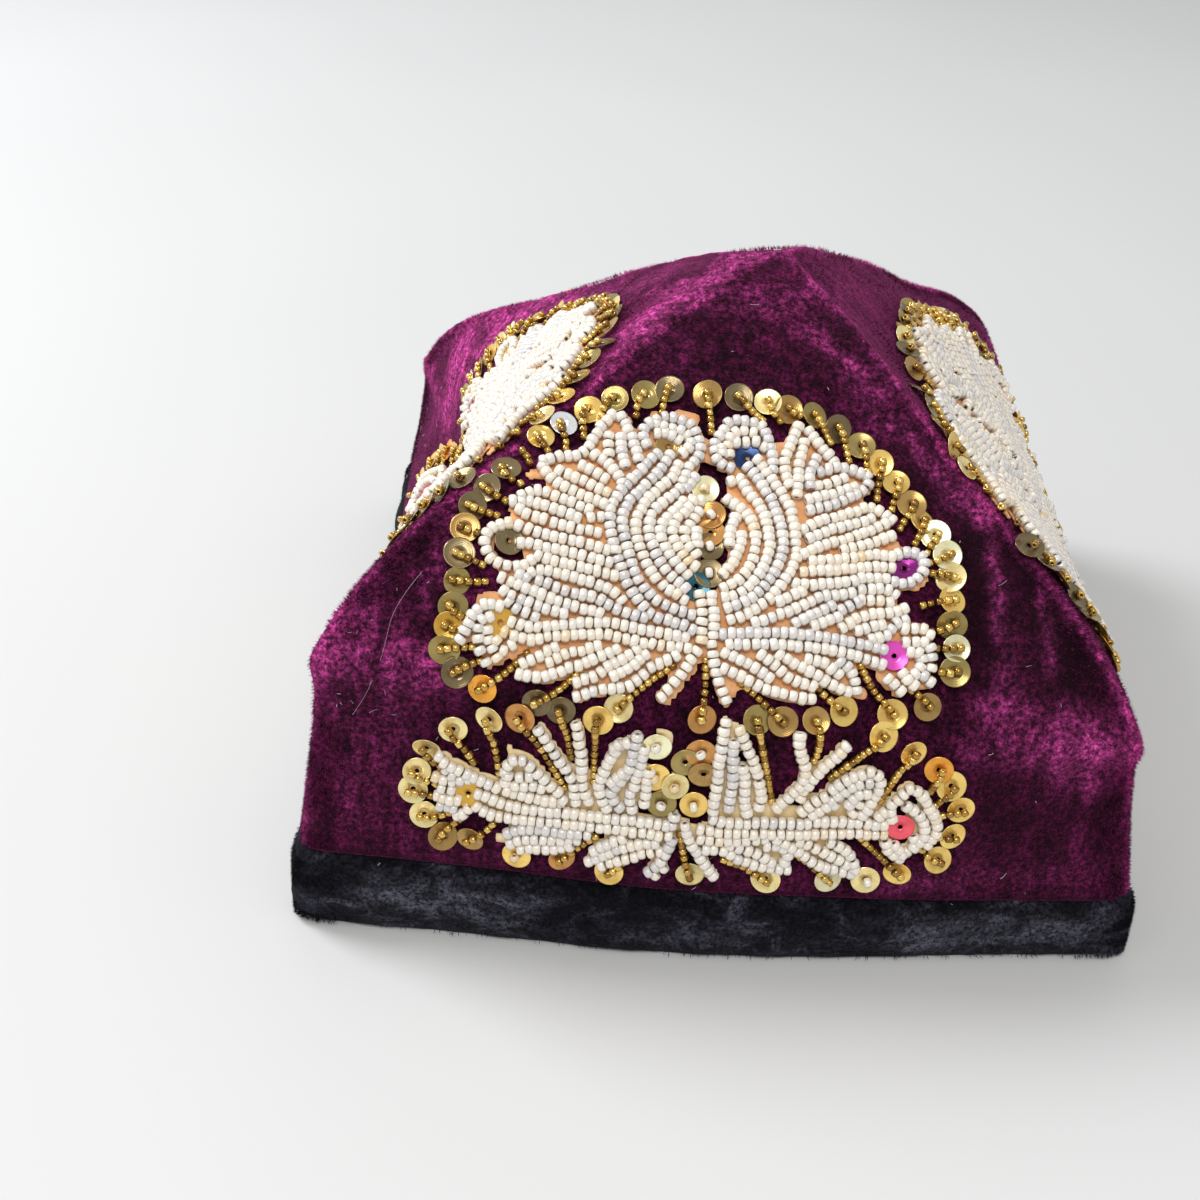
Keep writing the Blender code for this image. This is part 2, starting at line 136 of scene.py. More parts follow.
# Rows of white beads on the fan
FAN_ROWS = (
    # upper left leaf
    (-24.7, 50, -26, 47.6, -27.2, 45, -28, 42.6, -29.5, 41.1, -32.2, 40.2, -35, 38.7),
    (-22.9, 49.9, -21.2, 47.2, -20.1, 44.8, -19.2, 42.6),
    (-24.8, 45.9, -24.2, 42.5),
    (-22.6, 46, -22.1, 43.4, -21.3, 41),
    (-26.4, 41.8, -24, 40.5, -22.2, 38.6, -21.5, 37.4),
    # left leaves, from the top down
    (-28.5, 39.2, -26.2, 38.4, -24.2, 37.6),
    (-32, 37.4, -28, 36.3, -23.6, 34.9),
    (-34.8, 37.9, -33.3, 35.7, -30, 34.1, -23.8, 32.7),
    (-37.6, 31, -35, 32.6, -31, 32, -26.3, 31),
    (-38.8, 29.5, -36, 30.2, -32, 29.8, -27.8, 29),
    (-25.8, 29.7, -24.2, 30.3),
    (-37.6, 28.2, -36, 27.6, -30, 27.1, -24.4, 27.3),
    # rosette at the left and the rows that leave it
    (-38.9, 25.4, -41.4, 23.9, -42.5, 21.2, -41.4, 18.8, -39, 17.9, -36.4, 18.4, -34.4, 19.8),
    (-37.2, 25.3, -34, 24.8, -28, 24.8, -22.5, 24.8),
    (-38.2, 22.2, -35.2, 22.6, -28, 22.6, -22, 22.8),
    (-33.5, 20.8, -28, 20.6, -20.9, 20.9),
    (-34.2, 18, -32.2, 18.8, -26, 18.8, -21.6, 18.6, -19.4, 17.3),
    (-36.2, 17.2, -34.9, 16.8),
    (-32.9, 17, -28, 16.4, -23, 16.6, -20, 15.7, -15.5, 15.4),
    (-38.9, 15.9, -34.2, 15.1, -29, 14.4, -22.6, 14.5),
    (-38.4, 14, -36.6, 13.4, -32, 12.9, -28.3, 12.9),
    (-37.4, 12.4, -35.5, 11.6, -32.8, 11.1),
    # lower left rosette
    (-38.8, 11.4, -41, 11.3, -42.8, 9.4, -43.6, 7.3, -44.6, 5.4),
    (-40.1, 9.5, -41.6, 8.6, -42, 6.9, -41.4, 5, -40.1, 3.4),
    (-40.3, 7.4, -39.7, 5.6, -38.4, 4.2),
    (-38.6, 6.3, -37.3, 5.3, -36.3, 6.2),
    # long rows to the centre
    (-36.6, 9.6, -33, 9.6, -29, 11, -25, 12.4, -21, 13.3, -15, 13.5, -8.5, 13.5),
    (-37.5, 7.8, -33.5, 7.6, -30, 9, -25.5, 10.4, -21.5, 11.4, -14, 11.6, -8, 11.8),
    # lower left leaves
    (-34.2, 4.2, -31.5, 5.9, -29.2, 7.5),
    (-34.6, 2.8, -31, 3.1, -27.5, 4.7, -23, 7.3, -19.3, 9.7),
    (-29.9, 5.3, -27, 7.2, -22.4, 9.4),
    (-25.2, 3.6, -22.5, 5.1, -20, 7.2, -18.3, 8.4, -16.2, 10.2),
    (-25, 1.7, -22.5, 3, -19, 4.1, -16.8, 4.7, -14.8, 6.7),
    (-19.4, 5.6, -17, 7.4, -14.6, 9.8),
    (-13.7, 8, -9.8, 10.5),
    (-11.6, 4.1, -9, 7.3, -6.6, 11.6),
    # arcs round the centre on the left, from the outside in
    (-16.2, 44.4, -18.5, 40.8, -21, 36.6, -22.5, 33, -22.6, 29.5, -21.4, 25.6, -19.4, 21.3, -17.2, 18.4,
     -14.2, 16.1, -10, 15.5, -7.6, 14.9),
    (-14, 44.6, -16, 40.6, -18.5, 36.5, -20.3, 33, -20.5, 29.8, -19.4, 26.3, -17.9, 22.8, -16, 20.1, -13,
     18.3, -10.5, 17.6, -8, 17.2),
    (-12.6, 43.3, -13.4, 40.6, -15.3, 38, -17, 35.4, -18.2, 32.2, -18.3, 29.6, -17.2, 26.6, -15.4, 23.5,
     -13.2, 21.2, -9.2, 19.4),
    (-10.8, 43.3, -11.3, 41, -12.2, 38.4, -14.4, 35.6, -16.1, 32.4, -16, 29.4, -14.9, 26.9, -13.2, 24.4,
     -11.3, 22.6, -9.2, 21.3),
    (-11, 36.8, -12.6, 34.2, -14.1, 31.8, -14.1, 29.4, -13, 27.4, -11.2, 25.3, -9.2, 23.6),
    (-9.4, 37.2, -10.4, 35, -11.9, 32.8, -12.3, 30.4, -11.3, 28.4, -9.6, 26.4, -8, 25.3),
    (-8.3, 35.4, -9.3, 33.2, -10.4, 31, -9.6, 29, -8.2, 27.4),
    (-8.4, 31.6, -8.1, 29.4),
    (-8.2, 37.5, -9.7, 37.4),
    (-9.6, 41.6, -10.9, 39.4),
    # rosette over the left arcs
    (-18.2, 45.6, -19.1, 47.4, -18.4, 49.2, -16.2, 50.9, -13.3, 51.3, -11.1, 50.5, -9.7, 48.6, -9.2, 46.3,
     -10, 44.4),
    (-17, 49.6, -14.6, 49.3, -12.3, 49.3, -10.8, 47.4, -12, 45.6),
    (-16.6, 47.9, -14.8, 48.4, -12.9, 47.7),
    # rosette over the right arcs
    (-4, 44.5, -6.3, 45.5, -6.9, 48.4, -5.8, 50.8, -4.7, 52.9, -1.8, 53, 0.5, 52.5, 1.3, 50.9, 2.1, 48.9,
     2.8, 46.6, 3, 44.6),
    (-4.5, 47, -4.9, 49.4, -3.1, 51.3, -0.9, 51.2),
    (-5.8, 47.8, -5.6, 46.9),
    (-3.5, 49.1, -0.6, 49.7, 1.1, 48.9),
    # arcs round the centre on the right, from the outside in
    (-2.1, 46.5, -0.4, 47, 1.3, 45, 2.8, 43.2, 4.4, 41, 6, 38.4, 7.1, 35.4, 7.7, 32.4, 8, 29.4, 7.4, 26,
     5.6, 22.8, 3.9, 20.4, 1.2, 18.3, -1.5, 17),
    (-1.1, 45, 0.8, 42.8, 2.4, 40.2, 4, 37.2, 5.2, 34, 5.7, 30.6, 5.4, 27.4, 4.3, 24.8, 3, 22.4, 1, 20.4,
     -2.2, 18.8),
    (-3.6, 42, -2.2, 42.5, -0.8, 40.4, 1.6, 37.4, 3, 34, 3.6, 30.6, 3.4, 27.8, 2.4, 25.2, 1, 22.9, -0.9,
     21.2, -2.8, 20.6),
    (-4, 38.4, -2, 37.2, -0.2, 35.6, 0.8, 33.4, 1.3, 30.6, 1, 27.6, 0.2, 25.4, -1.2, 23.4, -3.2, 22.2),
    (-2.4, 35.2, -3, 32.4, -2.9, 30.2),
    (-1.2, 31.9, -1, 30, -1.6, 28.2, -2.3, 26.4, -3.4, 24.6),
    # upright leaf
    (6.4, 53.1, 5.5, 50, 4.8, 47, 5.2, 44, 5.9, 42.3),
    (7.6, 50.5, 7.2, 46, 7.4, 40.7),
    (8.1, 52.7, 10, 50.7, 13, 47.9),
    (9.9, 47.7, 9.1, 45, 9.3, 42.7),
    # right leaves, from the top down
    (10.8, 45.6, 13.5, 46.9, 16.4, 46.9, 19.2, 45.7, 18.8, 43.8, 16.2, 41.6, 12.6, 39.2, 9.8, 38.1),
    (10.6, 42.9, 12.4, 43.5, 14.9, 45.1),
    (9.3, 39.9, 12, 41.2, 14.5, 42.3, 16.8, 43.8),
    (8.9, 34.2, 12, 36.4, 16.3, 38.4, 18.6, 39.9, 20.2, 40.1, 22.2, 39.1, 23.7, 37.9),
    (10.1, 32.5, 13.7, 34.9, 18.8, 37.3, 20.1, 38.1),
    (9.3, 29.5, 12.6, 31.7, 16.2, 33.5, 20.2, 35.8, 22.6, 37.3),
    (15.9, 31.4, 19.7, 33, 23.8, 35),
    (10.8, 28.4, 15, 29.3, 18.5, 30.4, 21.5, 31.3, 24.2, 31),
    (9.5, 26.2, 14, 27.2, 18.8, 28.4, 22, 29.1, 25.6, 29),
    (25.3, 31.7, 27, 32.1, 28.9, 31.4, 29.8, 29.8, 29.2, 27.7, 27.5, 26.4, 24.8, 26.5),
    (8.4, 24, 11, 24, 15, 25, 17.6, 25.7, 19.2, 26.6, 23.3, 27),
    (19.4, 24.5, 23.5, 25, 25.1, 24.3),
    (19.3, 22.7, 24.2, 23),
    # slanting rows under them
    (5.9, 20.6, 9.5, 22.7),
    (2.4, 16.7, 6.5, 18.6, 9.4, 20.1, 12.4, 22.1, 15, 22.8, 17.6, 23.7),
    (8.9, 17.4, 11.2, 18.8, 14.4, 20.9),
    (12, 17.3, 15.7, 19.3),
    (16.1, 20.4, 18.8, 22.2),
    (16.6, 17.6, 18.8, 19.4, 21.6, 20.6, 24, 21, 26.8, 22),
    (19.2, 17.5, 23.1, 19),
    (21.5, 16.4, 24.1, 17.3),
    (24.8, 18.4, 25.7, 19.6, 27.1, 20.2),
    # lower right rosette
    (27.1, 18.6, 29.8, 18.7, 31.4, 17.6),
    (27.4, 16.4, 30.6, 16.5, 31.8, 14.6, 31.9, 12.5),
    (28.3, 14.9, 29.9, 14.7, 30.4, 13.1, 29.3, 11.6),
    (30.8, 11.2, 32, 10.3),
    (27.2, 11.6, 28.1, 10.5, 29.2, 9.8),
    (24.6, 10.5, 26, 9.6, 27.1, 8.7),
    # long rows to the right
    (-2.6, 14.7, 5, 15.4, 12, 15.6, 19.6, 15.4, 23.7, 14.9),
    (-1.5, 13.1, 5, 13.5, 12, 13.8, 18, 13.5, 23.6, 12.6),
    # lower right leaves
    (-2, 11.8, 1, 10.6, 5.3, 8.3),
    (-2, 9.3, 1, 8.1, 4.4, 6.7, 8, 6, 12.3, 5.7),
    (3.7, 11.7, 6.2, 10.2, 8.8, 8.5, 12.4, 7.7),
    (6.6, 12, 9.5, 10.8, 13, 9.5, 16, 8.2, 18.3, 7.7),
    (11.2, 11.7, 13.8, 11.6, 16.4, 10.2),
    (16.6, 12.1, 18.6, 10.8, 19.6, 8),
    # stems
    (-7, 20.6, -6.2, 17.5, -6, 13.3),
    (-5, 20.8, -4.3, 17, -4.2, 14.4),
    (-4.3, 12.9, -3.3, 9, -1.3, 4.5),
)

# Card that shows past the beads
FAN_CARD = (
    (-37.2, 36, -33.5, 37),
    (-13.5, 52.4, -11, 52.4),
    (-17.8, 51.2, -16.5, 50.6),
    (-40, 12.6, -42.2, 11.8),
    (-10.8, 3.8, -7.2, 9),
    (20.2, 8.2, 20.9, 7.6),
    (24.6, 34.2, 25.4, 32),
    (30.2, 27, 29.2, 26.2),
    (24, 11, 27, 8.6),
    (31.5, 11.3, 30, 10),
    (19.9, 44.8, 19.2, 43.4),
    (-0.8, 9.4, -0.2, 6),
    (-26.8, 43.5, -24.6, 47.5, -23.8, 49),
    (10.5, 49, 8.8, 49.8),
    (10.8, 43.8, 12.5, 45.2),
    (-39, 28, -38.6, 27.2),
)

# Strings of gold beads on the fan: from the bead field out to the middle of a sequin
FAN_STRINGS = (
    # x and y of the foot, x and y of the sequin, finish
    (-41.5, 3.2, -45.2, 1.2, "smoke"),
    (-43.0, 4.6, -47.5, 3.6, "olive"),
    (-43.6, 6.8, -47.2, 6.6, "amber"),
    (-44.0, 8.3, -46.8, 9.6, "olive"),
    (-42.0, 14.6, -46.8, 13.6, "olive"),
    (-42.8, 17.2, -46.9, 18.3, "smoke"),
    (-42.8, 22.4, -46.7, 23.1, "bronze"),
    (-41.6, 26.4, -46.0, 27.5, "smoke"),
    (-40.6, 29.6, -44.2, 31.7, "smoke"),
    (-38.6, 33.6, -41.6, 36.4, "smoke"),
    (-37.6, 38.4, -39.6, 41.2, "olive"),
    (-34.4, 40.4, -36.8, 44.2, "gold"),
    (-32.0, 42.3, -33.2, 47.3, "silver"),
    (-29.3, 45.4, -29.3, 50.6, "gold"),
    (-27.2, 48.5, -25.0, 53.3, "olive"),
    (-20.9, 50.8, -19.8, 54.8, "olive"),
    (-16.6, 52.0, -15.8, 56.6, "smoke"),
    (-7.8, 50.6, -9.3, 57.2, "bronze"),
    (0.4, 54.0, -4.0, 57.8, "smoke"),
    (3.4, 54.0, 1.0, 57.4, "pale"),
    (6.6, 55.4, 4.6, 56.4, "bronze"),
    (12.4, 51.6, 9.1, 56.0, "olive"),
    (15.9, 48.8, 13.4, 54.3, "smoke"),
    (19.4, 47.2, 17.8, 51.7, "olive"),
    (21.4, 42.2, 21.4, 48.7, "gold"),
    (24.1, 40.2, 24.6, 45.3, "gold"),
    (25.8, 36.7, 27.5, 41.2, "bronze"),
    (28.5, 33.8, 29.5, 38.0, "gold"),
    (30.6, 31.9, 32.0, 35.3, "bright"),
    (31.0, 30.0, 34.2, 31.4, "bright"),
    (30.6, 28.4, 35.0, 27.2, "pale"),
    (30.4, 22.6, 35.4, 23.2, "gold"),
    (32.0, 18.2, 35.6, 19.2, "olive"),
    (31.9, 15.7, 36.6, 15.3, "bright"),
    (32.8, 12.6, 36.5, 11.7, "olive"),
    (29.2, 9.0, 32.2, 6.6, "bronze"),
    (20.4, 12.0, 26.3, 5.1, "gold"),
    (13.6, 7.6, 18.0, 4.7, "gold"),
    (1.0, 7.2, 8.2, 2.1, "bronze"),
    (-5.0, 10.4, -4.9, 1.6, "copper"),
    (-10.2, 8.8, -18.4, 1.3, "pale"),
    (-25.8, 4.4, -31.8, -0.9, "smoke"),
    (-34.0, 5.6, -40.9, -0.4, "orange"),
)

# Sequins under a rosette or along the middle of the fan, and the bead that holds each
FAN_STUDS = (
    # x, y, finish, bead, room kept clear of white beads
    (-7.7, 39.9, "bright", "tan", 0.0),
    (-6.3, 35.2, "copper", "white", 0.0),
    (-6.1, 31.9, "copper", "none", 0.0),
    (-6.0, 29.3, "smoke", "white", 0.0),
    (-5.7, 24.5, "smoke", "white", 0.0),
    (-7.6, 22.0, "teal", "none", 1.2),
    (-38.8, 22.3, "smoke", "none", 1.5),
    (-38.6, 9.0, "amber", "none", 0.8),
    (-14.6, 46.3, "bronze", "none", 1.2),
    (-1.3, 46.7, "navy", "none", 1.0),
    (26.6, 29.2, "violet", "none", 1.7),
    (25.8, 14.2, "magenta", "none", 2.2),
)

# The same four tables for the spray
SPRAY_ROWS = (
    # left rosette
    (-48, -11.9, -45.5, -13.2, -42, -14.5, -38, -15.8),
    (-46.8, -13.8, -44.5, -15.2, -42.8, -14.9),
    (-48.6, -15.3, -46.4, -15.6, -44.2, -15.6),
    (-47.6, -17, -45.8, -17.2),
    (-48.4, -18.6, -46.2, -18.8, -44.8, -18.9),
    (-47.8, -20.2, -45.6, -20.3),
    (-45, -21.6, -43.2, -20.6, -42.8, -19),
    # stem to the left
    (-41.2, -17.2, -39, -17.8, -36, -18.8, -32, -18.9, -26, -18.4, -20, -18.2, -14, -18, -9.4, -18),
    (-42.8, -19, -40.6, -20.2, -37, -21, -33, -20.8, -26, -20.4, -18, -20, -9, -20),
    # leaf over the stem
    (-36.6, -13.2, -36, -11.6, -34.4, -10.5, -32.8, -10.8, -30.8, -12.2, -28.4, -14.4, -26.6, -16),
    (-36.4, -14.8, -36.2, -13.4),
    (-36.2, -16, -34, -16.4, -31.6, -16.8, -29.4, -16.8, -27, -16.6),
    (-34.2, -13.6, -32.2, -13),
    (-34.6, -15, -32.4, -14.6, -30.4, -14.6),
    # upright stems on the left
    (-31, -4.8, -28.6, -8, -26.2, -10.8, -24.8, -13.4, -24.6, -16.2),
    (-24.8, -2.8, -24.2, -6, -23.8, -9, -23.6, -12.4, -22.4, -15.8),
    (-17.8, -4.6, -19.2, -7.4, -20.4, -11, -20.6, -13.8, -19.4, -16.4),
    (-15, -2.6, -15.4, -5.4, -16, -8.4, -17.4, -11, -18.8, -13.6, -17.2, -15.8),
    (-16.6, -4, -18.6, -5.4),
    (-17, -9.6, -18.6, -11.6),
    (-13.8, -4.6, -14.2, -7.6, -14.8, -10.6, -15.6, -13.4, -15.2, -15.8),
    (-12.8, -8.6, -13, -11.6, -13.2, -14.4),
    # leaves under the stem on the left
    (-36, -23.8, -33.8, -22.6, -30, -22.2, -26, -22, -22.4, -21.8),
    (-35.6, -25.4, -34, -24.6, -31, -24, -27.6, -23.8, -24, -23),
    (-33.8, -26.2, -31, -25.8, -28, -25.4, -25.2, -24.2),
    (-22, -26.6, -20.2, -25.6, -18, -24.2, -15, -22.8, -11, -21.8),
    (-21.2, -24.6, -18.6, -22.8, -16.6, -21.8),
    (-19.8, -27.2, -17.6, -26.2, -15, -25, -12.6, -23.8, -10.2, -23.2),
    (-11.8, -27.4, -10.2, -25.6, -9, -23.2, -8.2, -21),
    (-10.8, -28, -9.4, -26.4),
    (-8.2, -16.4, -8.4, -18.2),
    (-6.2, -17.8, -5.8, -19.6, -4.6, -22, -2.8, -24.8, -1, -27.2),
    # right rosette
    (28.2, -14.8, 27.6, -12.6, 27.2, -10.8, 28.2, -9.2),
    (29.2, -8, 30.6, -6.8, 32.4, -8, 34.2, -10.6, 35.6, -13.2, 35.8, -15.4, 34.8, -18.2),
    (30.2, -10.6, 32.2, -11.8, 33.6, -14, 33.8, -16.2, 32.6, -18.6, 31.4, -20),
    (31.2, -13.4, 31.8, -15.4, 32.4, -17.2),
    (27.4, -18.6, 28.2, -20.2, 30.2, -21.4),
    (29, -18.8, 30.4, -20.6),
    # stem to the right
    (-1.8, -16.2, 1, -16.8, 6, -16.4, 12, -16, 18, -15, 24, -14.8, 28, -14.8),
    (-3.6, -18.4, 2, -18.6, 8, -18.4, 14, -18, 20, -17.2, 26, -16.8, 28.2, -16.6),
    (-3.6, -20.2, 2, -20.2, 7, -19.6),
    # upright stems on the right
    (-1, 1.6, -1.4, -2.4, -1.6, -6.4, -1.6, -10.4, -2, -14.6),
    (0.4, -1.8, 0.6, -5.6, 0.8, -9.6, 0.6, -13.8),
    (1.2, 0.6, 2.6, -2.4, 4, -5.4, 5, -8.4, 5.6, -11.4, 5.6, -13.2),
    (2.4, -6.4, 2.8, -9.4, 3, -12.4, 3.6, -14.6),
    (10.8, 0.4, 11.2, -2.4, 12.2, -4.8, 12.4, -7.6, 11, -10.2, 8.4, -13.4),
    (18.6, -0.4, 16.8, -3, 14.8, -5.6, 13, -8.6, 12, -11),
    (16, -10.4, 14.2, -11.8, 12.6, -13.6),
    (18.2, -10, 16.2, -12.6, 14.4, -14.2),
    # leaf over the stem on the right
    (17.2, -8.8, 19.4, -6.6, 22, -5, 24, -4.8, 25, -6.6, 24.6, -9, 23.4, -11.6, 22.6, -13.2),
    (17.6, -11.6, 19, -9.2, 21, -7.2, 23, -6.6),
    (20.2, -11.4, 21.4, -9.4, 23, -8.8),
    (21, -12.8, 21.9, -11),
    (25.6, -13.2, 26.4, -12.2),
    # leaves under the stem on the right
    (-2.6, -22, 0, -22.2, 2.6, -23.4, 5, -24.4, 8, -25, 11.2, -25.2),
    (1.4, -21.2, 4, -21.8, 6.6, -22.8, 8.4, -24),
    (7.4, -20.8, 9.6, -20.8, 11, -22.4, 10.6, -23.8),
    (9, -19.4, 12, -21, 15, -23.2, 18.4, -24.6, 22, -25.2),
    (12.8, -19.6, 16, -20.8, 18.6, -22.2, 21, -23.4),
    (18, -19.4, 20, -20.2, 21.8, -22, 22.6, -24.4),
)

SPRAY_CARD = (
    (-11.4, -1.6, -9.8, -2.2, -10.2, -3.8),
    (-8.4, -9, -7.2, -12),
    (-38.4, -25.6, -36, -25.6),
    (31.6, -20.8, 33, -20.2),
    (-19.4, -7.4, -17.6, -8.4),
    (-36.4, -9.6, -35.4, -10.2),
    (0, -15.4, 8, -14.4, 16, -13.4, 24, -12.6),
    (-19, -21.8, -15, -20.8),
    (-2.2, -27.6, -1, -28),
    (10.2, -26.4, 8.6, -26.2),
)

SPRAY_STRINGS = (
    (-48.2, -13.8, -50.6, -11.0, "pale"),
    (-49.2, -17.0, -52.6, -15.2, "pale"),
    (-48.9, -19.6, -53.4, -18.4, "pale"),
    (-45.9, -21.3, -51.5, -22.6, "pale"),
    (-44.9, -22.8, -48.2, -26.2, "bronze"),
    (-38.4, -22.0, -43.3, -26.2, "bronze"),
    (-42.6, -12.4, -46.0, -7.4, "pale"),
    (-38.0, -13.8, -39.8, -5.0, "pale"),
    (-26.8, -14.4, -34.6, -4.0, "copper"),
    (-25.8, -8.8, -27.8, -1.2, "smoke"),
    (-21.8, -12.4, -21.6, -1.4, "gold"),
    (-21.2, -22.6, -27.0, -27.6, "copper"),
    (-12.4, -24.0, -18.6, -28.8, "gold"),
    (-7.0, -20.0, -4.9, -27.8, "pale"),
    (0.6, -24.6, 8.0, -28.0, "pale"),
    (12.4, -22.6, 18.6, -27.4, "bright"),
    (23.4, -18.6, 30.8, -25.4, "gold"),
    (34.4, -20.0, 37.6, -22.0, "gold"),
    (35.6, -17.2, 39.6, -16.8, "gold"),
    (36.2, -13.2, 40.2, -11.0, "gold"),
    (35.6, -10.4, 37.8, -6.2, "gold"),
    (34.4, -7.4, 35.2, -3.0, "orange"),
    (26.0, -10.4, 30.4, -0.2, "gold"),
    (17.0, -7.0, 25.0, 1.9, "gold"),
    (13.9, -4.2, 13.6, 2.8, "bronze"),
    (7.6, -12.6, 4.0, 2.0, "olive"),
)

SPRAY_STUDS = (
    (-34.7, -27.9, "gold", "tan", 0.0),
    (25.0, -26.8, "pale", "white", 0.0),
    (-11.8, -4.0, "bright", "white", 0.0),
    (-7.0, -6.2, "olive", "none", 0.0),
    (-4.6, -4.2, "copper", "white", 0.0),
    (-3.9, -8.2, "bronze", "none", 0.0),
    (-11.8, -9.6, "gold", "tan", 0.0),
    (-8.4, -10.8, "pale", "tan", 0.0),
    (-5.1, -14.0, "gold", "white", 0.0),
    (-10.4, -14.4, "olive", "white", 0.0),
    (-43.2, -17.8, "amber", "none", 1.7),
    (29.8, -15.2, "red", "none", 2.3),
)

# Colours of the sequins' film
SEQUIN_FINISH = {
    "gold": (1.00, 0.69, 0.20),
    "pale": (1.00, 0.84, 0.40),
    "bright": (1.00, 0.95, 0.62),
    "olive": (0.42, 0.32, 0.11),
    "smoke": (0.24, 0.18, 0.09),
    "bronze": (0.50, 0.31, 0.10),
    "copper": (0.60, 0.30, 0.09),
    "amber": (0.80, 0.48, 0.08),
    "orange": (0.93, 0.42, 0.06),
    "silver": (0.86, 0.88, 0.92),
    "teal": (0.03, 0.14, 0.20),
    "navy": (0.02, 0.05, 0.16),
    "violet": (0.30, 0.02, 0.24),
    "magenta": (0.90, 0.10, 0.62),
    "red": (0.92, 0.12, 0.16),
}

# Coloured sequins of the front, and what the other sides have in their place
OTHER_SIDES = {"violet": "amber", "magenta": "red", "navy": "bronze", "teal": "copper", "silver": "pale"}

# Strokes where rubbing opens the pile, and strokes of painted sheen and highlight beside the ridges,
# along the fold of the crease and over the left side. The strokes along the middle of the hem lighten it
# there.
BRUSHED_AND_SHEEN = (
    # side, x and y of one end, x and y of the other, width, strength
    ("front", 8.0, 74.0, 22.0, 58.0, 3.0, 0.55),
    ("front", 22.0, 58.0, 40.0, 38.0, 1.8, 0.75),
    ("front", 41.0, 36.0, 43.0, 16.0, 1.0, 0.55),
    ("front", 50.0, 24.0, 52.0, 10.0, 0.9, 0.5),
    ("front", 42.0, 5.0, 62.0, 1.0, 2.6, 0.6),
    ("front", 55.0, -3.0, 62.0, -6.0, 2.6, 0.5),
    ("front", 44.0, 12.0, 46.0, 4.0, 2.0, 0.5),
    ("front", -62.0, 4.0, -56.0, 0.0, 5.0, 0.6),
    ("front", -56.0, 2.0, -38.0, 1.5, 1.5, 0.8),
    ("front", -64.0, -8.0, -62.0, -24.0, 3.0, 0.5),
    ("front", -6.0, 78.0, 6.0, 80.0, 4.0, 0.45),
    ("front", -50.0, 22.0, -58.0, -14.0, 10.0, 0.22),
    ("front", 58.0, -26.0, 30.0, -28.0, 3.0, 0.35),
    ("front", -56.0, -39.0, -34.0, -40.0, 4.5, 0.9),
    ("front", 34.0, -41.0, 62.0, -39.0, 4.5, 0.9),
    ("front", -16.0, -43.0, 4.0, -42.0, 2.5, 0.35),
    ("left", -32.0, 42.0, -46.0, 10.0, 12.0, 1.7),
    ("left", -20.0, 54.0, -30.0, 44.0, 5.0, 0.8),
    ("left", 30.0, -40.0, 60.0, -40.0, 4.5, 0.6),
    ("right", -60.0, -40.0, -20.0, -41.0, 4.5, 0.6),
    ("back", -40.0, -40.0, 30.0, -41.0, 4.5, 0.6),
    ("left", 0.0, 84.0, 30.0, 47.0, 6.0, 1.3),
    ("left", 4.0, 74.0, -16.0, 60.0, 6.0, 0.9),
    ("left", -50.0, 4.0, -46.0, 2.0, 4.0, 0.6),
    ("right", -8.0, 78.0, 4.0, 72.0, 4.0, 0.4),
    ("right", 52.0, 6.0, 60.0, 0.0, 5.0, 0.6),
    ("back", -56.0, 4.0, -40.0, 1.0, 4.0, 0.6),
    ("back", 44.0, 2.0, 60.0, 0.0, 4.0, 0.6),
    ("back", 20.0, 56.0, 36.0, 34.0, 4.0, 0.5),
)

# Strokes where the pile lies flat and dark, with painted shade among them: a painted shadow line
# under the left of the crease and painted shade over the lower right of the front.
PRESSED_AND_SHADE = (
    # side, x and y of one end, x and y of the other, width, strength
    ("front", 46.0, 32.0, 58.0, 11.0, 9.0, 1.0),
    ("front", 38.0, 34.0, 42.0, 10.0, 5.0, 0.9),
    ("front", -40.0, 32.0, -50.0, 12.0, 5.0, 0.4),
    ("front", 30.0, 48.0, 42.0, 36.0, 5.0, 0.95),
    ("front", 46.0, -14.0, 62.0, -12.0, 6.0, 0.55),
    ("front", -36.0, -2.5, -54.0, -2.5, 2.0, 0.6),
    ("right", -20.0, 50.0, -44.0, 22.0, 8.0, 0.7),
    ("right", 36.0, 30.0, 50.0, 12.0, 7.0, 0.5),
    ("back", -30.0, 42.0, -44.0, 20.0, 7.0, 0.6),
    ("left", 24.0, 44.0, 44.0, 18.0, 7.0, 0.5),
)

chance = random.Random(7)


# Places on the skin

def table_rows(table, run):
    """A table of the skin at many runs, by a cubic through its rows that never overshoots."""
    runs = table[:, 0]
    values = table[:, 1:]
    steps = np.diff(runs)
    slopes = np.diff(values, axis=0) / steps[:, None]
    before = slopes[:-1]
    after = slopes[1:]
    turning = before * after <= 0.0
    total = np.where(turning, 1.0, before + after)
    tangents = np.zeros_like(values)
    tangents[1:-1] = np.where(turning, 0.0, 2.0 * before * after / total)
    tangents[0] = slopes[0]
    tangents[-1] = slopes[-1]
    run = np.clip(np.asarray(run, float), runs[0], runs[-1])
    i = np.clip(np.searchsorted(runs, run, side="right") - 1, 0, len(steps) - 1)
    t = ((run - runs[i]) / steps[i])[..., None]
    step = steps[i][..., None]
    start = (2 * t**3 - 3 * t**2 + 1) * values[i] + (t**3 - 2 * t**2 + t) * step * tangents[i]
    end = (3 * t**2 - 2 * t**3) * values[i + 1] + (t**3 - t**2) * step * tangents[i + 1]
    return np.moveaxis(start + end, -1, 0)


